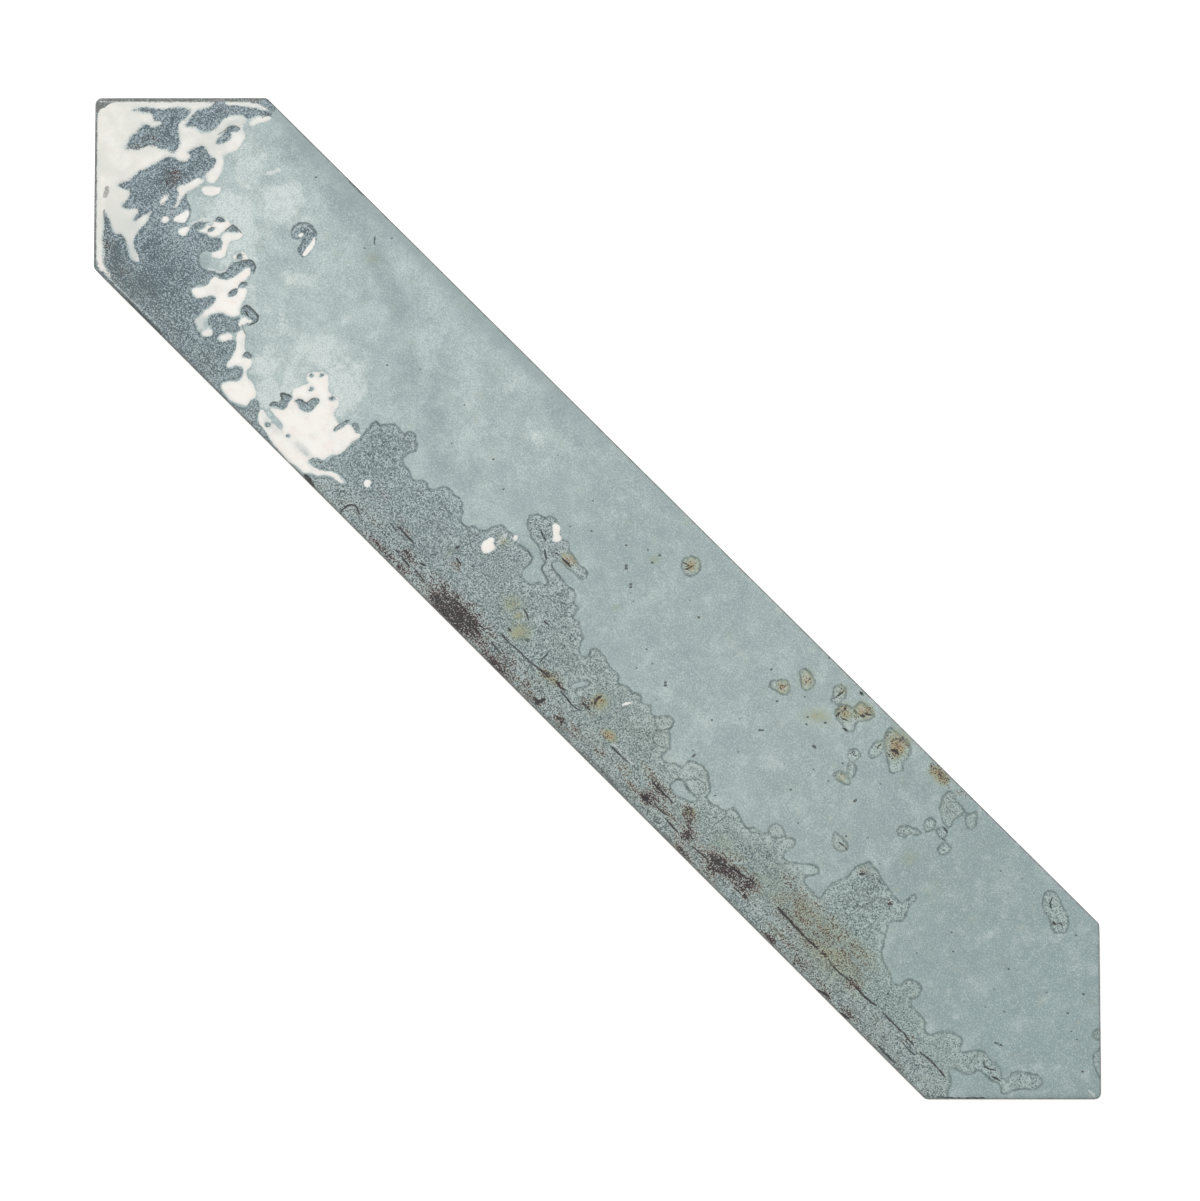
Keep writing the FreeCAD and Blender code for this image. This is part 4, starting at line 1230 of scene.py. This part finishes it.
# Where marks of the glazes come in or go, in metres along X unless a note says otherwise
bands = {
    "wholeLength": (-0.19, 0.19),
    "corner": (-0.157, -0.147),          # the end of the near point's soft cream
    "lowEdge": (-0.0325, -0.0215),       # Y, beside the low long edge
    "highEdge": (0.0265, 0.0315),        # Y, beside the high long edge
    "highEdgeEnd": (0.02, -0.08),
    "leftOfNearPoint": (0.002, -0.002),  # Y
    "flecksBegin": (-0.12, -0.05),
    "flecksThin": (0.0, 0.06),
    "streaksBegin": (-0.075, -0.035),
    "streaksEnd": (0.17, 0.12),
    "ochreBegins": (-0.06, -0.02),
    "rimDeepens": (0.0, 0.01),           # Y
    "glazeLine": (-0.0001, 0.0002),      # above the line where the glaze ends
    "glazeLineShade": (0.0009, 0.0002),
}

# Noises that the layers of the glaze share, by the names that the layers call them
glazeNoises = {
    "fine": {"scale": 2400, "detail": 1.0, "roughness": 0.6},
    "finer": {"scale": 3360, "detail": 0.0, "roughness": 0.5},
    "ragged": {"scale": 800, "detail": 2.0, "roughness": 0.6},
    "patch": {"scale": 330, "detail": 3.0, "roughness": 0.6},
    "broad": {"scale": 120, "detail": 5.0, "roughness": 0.65},
    "crumple": {"scale": 230, "detail": 5.0, "roughness": 0.68, "stretch": (1.0, 0.8, 1.0)},
    "drift": {"scale": 75, "detail": 4.0, "roughness": 0.55, "stretch": (0.45, 1.0, 1.0)},
    "streak": {"scale": 1000, "detail": 3.0, "roughness": 0.6, "stretch": (0.09, 1.0, 1.0)},
    "blotch": {"scale": 420, "detail": 4.0, "roughness": 0.65, "stretch": (0.35, 1.0, 1.0)},
    "warmth": {"scale": 210, "detail": 3.0, "roughness": 0.6},
    "wander": {"scale": 160, "detail": 3.0, "roughness": 0.6},
    "runs": {"scale": 55, "detail": 2.0, "roughness": 0.5},
}
saltScale = 1440                 # round specks in the stippled glaze
cellNet = {"scale": 250, "warpScale": 420, "warpAmount": 0.0035}


class GlazeNodes(Nodes):
    # the glaze's own tree, with the places, noises and marks that its layers share
    def __init__(self, tree):
        super().__init__(tree)
        self.coords = self.coordinates()
        separate = self.add("ShaderNodeSeparateXYZ")
        self.feed(separate.inputs[0], self.coords)
        self.x, self.y, self.z = separate.outputs
        self.along = self.fade(self.x, *bands["wholeLength"], smooth=False)
        self.lowEdge = self.fade(self.y, *bands["lowEdge"], 1.0, 0.0, smooth=False)
        for name, settings in glazeNoises.items():
            setattr(self, name, self.noise(self.coords, **settings))

        rim = self.mark("rim")
        self.onWall = self.fade(rim, -0.1, -1.2)
        self.nearPoint = self.mark("nearPointRim")
        onLeft = self.fade(self.y, *bands["leftOfNearPoint"], 0.0, glaze["leftRimShift"])
        self.rim = self.plus(rim, self.times(self.nearPoint, onLeft))
        self.wallWander = self.times(self.onWall, self.centred(self.wander, 9.0))
        self.coast = self.plus(self.shifted(self.mark("paleGlaze"), self.ragged, 0.9), self.wallWander)
        # depth above nought: painted reflections in the pale glaze and lighter tone in the stippled one;
        # below nought: painted shadows in the pale glaze, darker tone in the stippled one and painted dimmer
        # parts of the cream reflections
        depth = self.mark("depth")
        self.lightToneAndSheen = self.most(depth, 0.0)
        self.shade = self.most(self.times(depth, -1.0), 0.0)
        # the painted cream reflections in the corner of the near point have soft edges, the ones further on
        # are crisp
        self.inCorner = self.fade(self.x, *bands["corner"], 1.0, 0.0)
        self.soft = self.most(self.inCorner, self.mark("softReflection"))
        self.reflectionDistance = self.mark("creamReflection")
        self.speck = self.ramp(self.along, glaze["stippleSpeck"])
        self.flecks = self.plus(self.centred(self.fine, 2.6), self.centred(self.finer, 1.6),
                                self.centred(self.streak, 1.3), self.centred(self.patch, 0.8))

    def tint(self, base, mask, name, strength=None):
        # lays one of the glaze's colours over a base
        if strength is not None:
            mask = self.times(mask, strength)
        return self.mix(mask, base, colour(*glaze[name]))

    def blend(self, mask, first, second):
        return self.mix(mask, colour(*glaze[first]), colour(*glaze[second]))


def stippledLayer(n):
    # a darker ground under light specks, lighter just inside its edge
    ground = n.ramp(n.along, glaze["stippleGround"])
    salt = n.calculate("MULTIPLY_ADD", n.cells(n.coords, saltScale), -0.35, 0.16)
    lobe = n.times(n.fade(n.coast, -3.6, -1.0), n.fade(n.along, 0.3, 0.6, 0.06, 0.11))
    field = n.plus(n.centred(n.fine, 1.9), n.centred(n.finer, 1.1), n.centred(n.patch, 0.5), salt, lobe,
                   n.times(n.shade, -0.15), n.times(n.lightToneAndSheen, 0.17))
    ground = n.tint(ground, n.shade, "stippleDark", 0.35)
    ground = n.tint(ground, n.fade(field, -0.18, -0.40), "stippleDark", 0.90)
    stipple = n.mix(n.fade(field, 0.0, 0.22), ground, n.speck)
    stipple = n.tint(stipple, n.fade(n.shade, 0.6, 1.3), "stippleDark", 0.55)
    olive = n.fade(n.plus(n.drift, n.centred(n.fine, 0.5)), 0.54, 0.74)
    stipple = n.tint(stipple, n.times(olive, n.fade(n.along, 0.35, 0.75, smooth=False)), "olive", 0.42)
    # its cell walls, drawn here and there
    pushed = n.warped(n.coords, cellNet["warpScale"], cellNet["warpAmount"])
    net = n.fade(n.cells(pushed, cellNet["scale"], "DISTANCE_TO_EDGE"), 0.10, 0.02)
    net = n.times(net, n.fade(n.patch, 0.42, 0.62), n.fade(n.coast, -9.0, -2.0, 0.3, 1.0))
    return n.tint(stipple, net, "outline", 0.42)


def paleLayer(n):
    # painted reflections as clouds, painted soft shadows and a quiet mottle
    pale = n.ramp(n.along, glaze["pale"])
    pale = n.tint(pale, n.fade(n.broad, 0.44, 0.66, smooth=False), "paleShadow", 0.32)
    pale = n.tint(pale, n.fade(n.broad, 0.48, 0.30, smooth=False), "paleMottleAndSheen", 0.25)
    crumpled = n.times(n.centred(n.crumple, 3.0), n.fade(n.lightToneAndSheen, 0.0, 0.5))
    paleSheenMask = n.plus(n.lightToneAndSheen, crumpled, n.centred(n.fine, 0.35))
    pale = n.tint(pale, n.fade(paleSheenMask, 0.25, 1.05), "paleMottleAndSheen", 0.80)
    pale = n.tint(pale, n.fade(n.shifted(n.shade, n.broad, 0.8), 0.15, 0.95), "paleShadow", 0.55)
    grain = n.plus(n.centred(n.fine, 1.4), n.centred(n.finer, 1.2))
    pale = n.tint(pale, n.fade(grain, 0.0, -0.25), "paleShadow", 0.38)
    pale = n.tint(pale, n.fade(grain, 0.05, 0.30), "paleMottleAndSheen", 0.30)
    mottle = n.plus(n.centred(n.patch, 1.6), n.centred(n.crumple, 1.2))
    pale = n.tint(pale, n.fade(mottle, 0.05, 0.40), "paleShadow", 0.22)
    pale = n.tint(pale, n.fade(mottle, -0.05, -0.40), "paleMottleAndSheen", 0.16)
    pale = n.tint(pale, n.fade(n.warmth, 0.60, 0.74), "paleWarm", 0.22)
    highEdge = n.times(n.fade(n.y, *bands["highEdge"]), n.fade(n.x, *bands["highEdgeEnd"]))
    return n.tint(pale, highEdge, "paleShadow", 0.55)


def tanLayer(n, base):
    # soft tan and ochre stains
    tan = n.mark("tan")
    specked = n.plus(tan, n.centred(n.fine, 2.6), n.centred(n.finer, 1.6), n.centred(n.patch, 0.8))
    mask = n.times(n.fade(specked, 0.38, 0.62), n.fade(tan, 0.15, 0.50))
    base = n.tint(base, n.fade(n.shifted(tan, n.patch, 0.25), 0.05, 0.60), "tanTint", 0.42)
    return n.mix(n.times(mask, 0.72), base, n.blend(n.fade(tan, 0.45, 0.80), "tan", "tanStrong"))


def lowEdgeLayer(n, base):
    # warmer blotches, flecks and dark streaks beside the low long edge
    blotches = n.plus(n.blotch, n.centred(n.fine, 0.55), n.centred(n.streak, 0.25))
    tones = n.ramp(blotches, glaze["lowEdgeTones"])
    low = n.times(n.fade(n.shifted(n.lowEdge, n.broad, 0.7), 0.15, 0.60), n.fade(n.coast, 0.0, -1.0))
    base = n.mix(n.times(low, n.fade(n.x, *bands["flecksBegin"], 0.12, 0.30)), base, tones)
    low = n.times(low, n.fade(n.x, *bands["flecksBegin"], 0.30, 1.0),
                  n.fade(n.x, *bands["flecksThin"], 1.0, 0.70))
    base = n.tint(base, n.times(n.fade(n.flecks, 0.06, 0.22), low), "fleckLight", 0.70)
    base = n.tint(base, n.times(n.fade(n.flecks, -0.20, -0.34), low), "fleckDark", 0.85)
    streaks = n.fade(n.plus(n.streak, n.centred(n.fine, 0.35), n.times(n.lowEdge, 0.05)), 0.60, 0.70)
    midLength = n.times(n.fade(n.x, *bands["streaksBegin"]), n.fade(n.x, *bands["streaksEnd"]))
    streaks = n.times(streaks, n.lowEdge, midLength, n.fade(n.drift, 0.38, 0.60))
    return n.tint(base, streaks, "ironDark", 0.75)


def ironLayer(n, base):
    # brown, red and near-black specks of iron in a soft haze, ochre where the stain is weak
    stain = n.calculate("MINIMUM", n.mark("iron"), 1.40)
    field = n.plus(n.times(stain, 0.80), n.centred(n.fine, -2.8), n.centred(n.finer, -1.7),
                   n.centred(n.patch, 1.4), n.centred(n.streak, 1.5))
    field = n.plus(field, n.times(n.fade(stain, 0.30, 0.0), -0.9))
    iron = n.blend(n.fade(n.patch, 0.49, 0.62), "iron", "ironRed")
    ochre = n.times(n.fade(stain, 1.0, 0.5), n.fade(n.drift, 0.40, 0.56), n.fade(n.x, *bands["ochreBegins"]))
    iron = n.tint(iron, ochre, "ironPale")
    haze = n.fade(n.shifted(stain, n.patch, 0.9), 0.30, 1.30)
    base = n.mix(n.times(haze, 0.30), base, iron)
    base = n.mix(n.times(n.fade(field, 0.50, 0.68), 0.85), base, iron)
    return n.tint(base, n.fade(field, 0.78, 0.94), "ironDark", 0.93)


def coastLine(n, base):
    # the grey line where the pale glaze ends, partly its own darker edge and partly painted shade on the
    # slope of the edge, with a painted highlight as a thin light ring inside it
    line = n.times(n.fade(n.coast, -0.65, -0.22), n.fade(n.coast, 0.28, 0.0),
                   n.fade(n.reflectionDistance, -0.15, -0.9, 0.12, 1.0))
    line = n.times(line, n.fade(n.patch, 0.30, 0.62, 0.30, 0.70), n.fade(n.soft, 0.0, 1.0, 1.0, 0.15))
    ring = n.times(n.fade(n.coast, -1.8, -1.2), n.fade(n.coast, -0.65, -1.0), n.fade(n.fine, 0.42, 0.56))
    ring = n.times(ring, 0.55)
    return n.tint(n.mix(ring, base, n.speck), line, "outline")


def rimLayer(n, base):
    # thin and dark everywhere, with a painted highlight as a pale lip on the edges of the near point
    rim = n.shifted(n.rim, n.ragged, 0.6)
    offWall = n.fade(n.onWall, 1.0, 0.2)
    thinRim = n.times(n.fade(rim, 0.60, 0.15), offWall, n.fade(n.y, *bands["rimDeepens"], 0.55, 0.85))
    wideRim = n.times(n.fade(rim, 1.65, 1.20), offWall, n.nearPoint, 0.92)
    flecked = n.times(n.fade(n.flecks, 0.10, 0.40), n.nearPoint, 0.45)
    base = n.mix(n.most(thinRim, wideRim), base, n.blend(flecked, "rimDark", "fleckLight"))
    lipGlint = n.times(n.fade(rim, 1.30, 1.65), n.fade(rim, 2.9, 2.3), n.nearPoint, n.fade(n.coast, -0.4, 0.1))
    return n.tint(base, n.times(lipGlint, n.fade(n.broad, 0.36, 0.54, 0.25, 0.9)), "lipGlint")


def reflectionLayer(n, base):
    # painted reflections of the softbox laid on as cream pools, painted dimmer and bluer in places
    softened = n.times(n.soft, n.plus(n.centred(n.fine, 1.1), n.centred(n.patch, 1.2)))
    cream = n.plus(n.reflectionDistance, n.times(n.wallWander, 0.5), n.centred(n.ragged, 0.6), softened)
    shown = n.blend(n.times(n.fade(n.patch, 0.45, 0.65), 0.45), "cream", "creamWarm")
    shown = n.tint(shown, n.fade(n.shifted(n.crumple, n.fine, 0.4), 0.50, 0.34), "reflectionDim", 0.25)
    thin = n.plus(n.shade, n.centred(n.broad, 1.1), n.centred(n.fine, 0.5))
    shown = n.tint(shown, n.fade(thin, 0.15, 0.95), "reflectionDim", 0.90)
    shown = n.tint(shown, n.times(n.inCorner, n.fade(n.broad, 0.30, 0.65, 0.25, 0.85)), "creamCorner")
    shown = n.tint(shown, n.fade(n.shifted(cream, n.patch, 1.2), 1.2, 0.1), "reflectionDim", 0.30)
    edge = n.fade(cream, n.times(n.soft, -0.35), n.plus(0.30, n.times(n.soft, 0.3)))
    aboveRim = n.most(n.fade(n.rim, 1.25, 1.60), n.onWall)
    edge = n.times(edge, n.most(aboveRim, n.fade(n.nearPoint, 1.0, 0.0)))
    return n.mix(edge, base, shown)


def drawnLayer(n, base):
    # drawn lines, with painted shade arcs and a painted glint among them, and pinholes, a little broken
    across = n.calculate("ABSOLUTE", n.shifted(n.mark("strokeSide"), n.ragged, 2.0))
    tone = n.mark("strokeTone")
    drawn = n.times(n.fade(across, 1.20, 0.70), n.fade(n.mark("strokeNear"), 0.85, 0.45))
    broken = n.fade(n.shifted(n.fine, n.patch, 0.6), 0.30, 0.50, 0.25, 1.0)
    base = n.tint(base, n.times(drawn, n.most(n.times(tone, -1.0), 0.0), broken), "strokeLight", 0.85)
    base = n.tint(base, n.times(drawn, n.most(tone, 0.0), broken), "inkAndShade", 0.95)
    hole = n.fade(n.shifted(n.mark("pinhole"), n.ragged, 0.3), -0.04, 0.16)
    return n.tint(base, hole, "inkAndShade", 0.75)


def glazeMaterial(clayNodes):
    material = bpy.data.materials.new("glazedCeramic")
    material.use_nodes = True
    n = GlazeNodes(material.node_tree)
    base = n.mix(n.fade(n.coast, -0.20, 0.25), stippledLayer(n), paleLayer(n))
    for layer in (tanLayer, lowEdgeLayer, ironLayer, coastLine, rimLayer, reflectionLayer, drawnLayer):
        base = layer(n, base)

    # the glaze stops part of the way down the wall, and bare clay shows below
    clayColour, clayGrain = placeClay(n, clayNodes)
    runLine = n.calculate("MULTIPLY_ADD", n.runs, glaze["runLineWander"], glaze["runLineFoot"])
    above = n.calculate("SUBTRACT", n.z, runLine)
    glazed = n.fade(above, *bands["glazeLine"])
    base = n.tint(base, n.fade(above, *bands["glazeLineShade"]), "rimDark", 0.5)
    base = n.mix(glazed, clayColour, base)

    roughness = n.fade(n.coast, -0.3, 0.4, glaze["stippleRoughness"], glaze["paleRoughness"])
    roughness = n.fade(glazed, 0.0, 1.0, clay["roughness"], roughness, smooth=False)
    stippled = n.times(n.fine, n.fade(n.coast, -0.3, 0.4, 1.0, 0.12))
    height = n.fade(glazed, 0.0, 1.0, clayGrain, stippled, smooth=False)
    shader = material.node_tree.nodes["Principled BSDF"]
    n.feed(shader.inputs["Base Color"], base)
    n.feed(shader.inputs["Roughness"], roughness)
    n.feed(shader.inputs["Normal"], n.bump(height, glaze["bumpHeight"]))
    return material


def clayMaterial(clayNodes):
    material = bpy.data.materials.new("bareClay")
    material.use_nodes = True
    n = Nodes(material.node_tree)
    clayColour, clayGrain = placeClay(n, clayNodes)
    shader = material.node_tree.nodes["Principled BSDF"]
    n.feed(shader.inputs["Base Color"], clayColour)
    shader.inputs["Roughness"].default_value = clay["roughness"]
    n.feed(shader.inputs["Normal"], n.bump(clayGrain, clay["bumpHeight"]))
    return material


tilePiece = makeTile()
print("glaze and clay")
clayNodes = clayGroup()
tilePiece.data.materials.append(glazeMaterial(clayNodes))
tilePiece.data.materials.append(clayMaterial(clayNodes))
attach(tilePiece, "root")
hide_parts("picket_tile")

# Floor, light and camera, in metres
room = {
    "floorSize": 6.0,
    "floorCells": 8,
    "floorDrop": 0.00005,        # just clear of the back, so that the two do not share a plane
    "floorColour": (228, 228, 228),
    "floorRoughness": 0.9,
    "floorGlow": 0.60,           # seen by the camera only, so that the floor reads white
    "skyStrength": 0.72,
    "lampPlace": (-1.9, 0.6, 2.0),
    "lampSize": 0.9,
    "lampPower": 32.0,
}
white = (1.0, 1.0, 1.0, 1.0)


def floorMaterial():
    material = bpy.data.materials.new("paleFloor")
    material.use_nodes = True
    n = Nodes(material.node_tree)
    shader = material.node_tree.nodes["Principled BSDF"]
    shader.inputs["Base Color"].default_value = colour(*room["floorColour"])
    shader.inputs["Roughness"].default_value = room["floorRoughness"]
    shader.inputs["Emission Color"].default_value = white
    seen = n.add("ShaderNodeLightPath").outputs["Is Camera Ray"]
    n.feed(shader.inputs["Emission Strength"], n.times(seen, room["floorGlow"]))
    return material


def makeFloor():
    bm = bmesh.new()
    bmesh.ops.create_grid(bm, x_segments=room["floorCells"], y_segments=room["floorCells"],
                          size=room["floorSize"] / 2, matrix=Matrix.Translation((0, 0, -room["floorDrop"])))
    mesh = bpy.data.meshes.new("floor")
    bm.to_mesh(mesh)
    bm.free()
    mesh.materials.append(floorMaterial())
    floor = bpy.data.objects.new("floor", mesh)
    bpy.context.collection.objects.link(floor)


def makeLight():
    world = bpy.data.worlds.new("studio")
    world.use_nodes = True
    sky = world.node_tree.nodes["Background"]
    sky.inputs["Color"].default_value = white
    sky.inputs["Strength"].default_value = room["skyStrength"]
    bpy.context.scene.world = world

    lampData = bpy.data.lights.new("softbox", "AREA")
    lampData.shape = "SQUARE"
    lampData.size = room["lampSize"]
    lampData.energy = room["lampPower"]
    lamp = bpy.data.objects.new("softbox", lampData)
    bpy.context.collection.objects.link(lamp)
    place = np.array(room["lampPlace"])
    lamp.matrix_world = lookingMatrix(place, -place, np.array([0.0, 1.0, 0.0]))


def lookingMatrix(place, forward, up):
    forward = forward / np.linalg.norm(forward)
    right = np.cross(forward, up)
    right /= np.linalg.norm(right)
    up = np.cross(right, forward)
    matrix = Matrix.Identity(4)
    for row in range(3):
        matrix[row] = (right[row], up[row], -forward[row], place[row])
    return matrix


def makeCamera():
    place, right, up, forward = cameraFrame()
    cameraData = bpy.data.cameras.new("camera")
    cameraData.lens = cameraSetup["lens"]
    cameraData.sensor_fit = "HORIZONTAL"
    cameraData.sensor_width = cameraSetup["sensor"]
    cameraData.clip_start = cameraSetup["nearest"]
    cameraData.clip_end = cameraSetup["furthest"]
    camera = bpy.data.objects.new("camera", cameraData)
    bpy.context.collection.objects.link(camera)
    camera.matrix_world = lookingMatrix(place, forward, up)
    bpy.context.scene.camera = camera


print("floor, light and camera")
makeFloor()
makeLight()
makeCamera()
bpy.context.scene.view_settings.view_transform = "Standard"
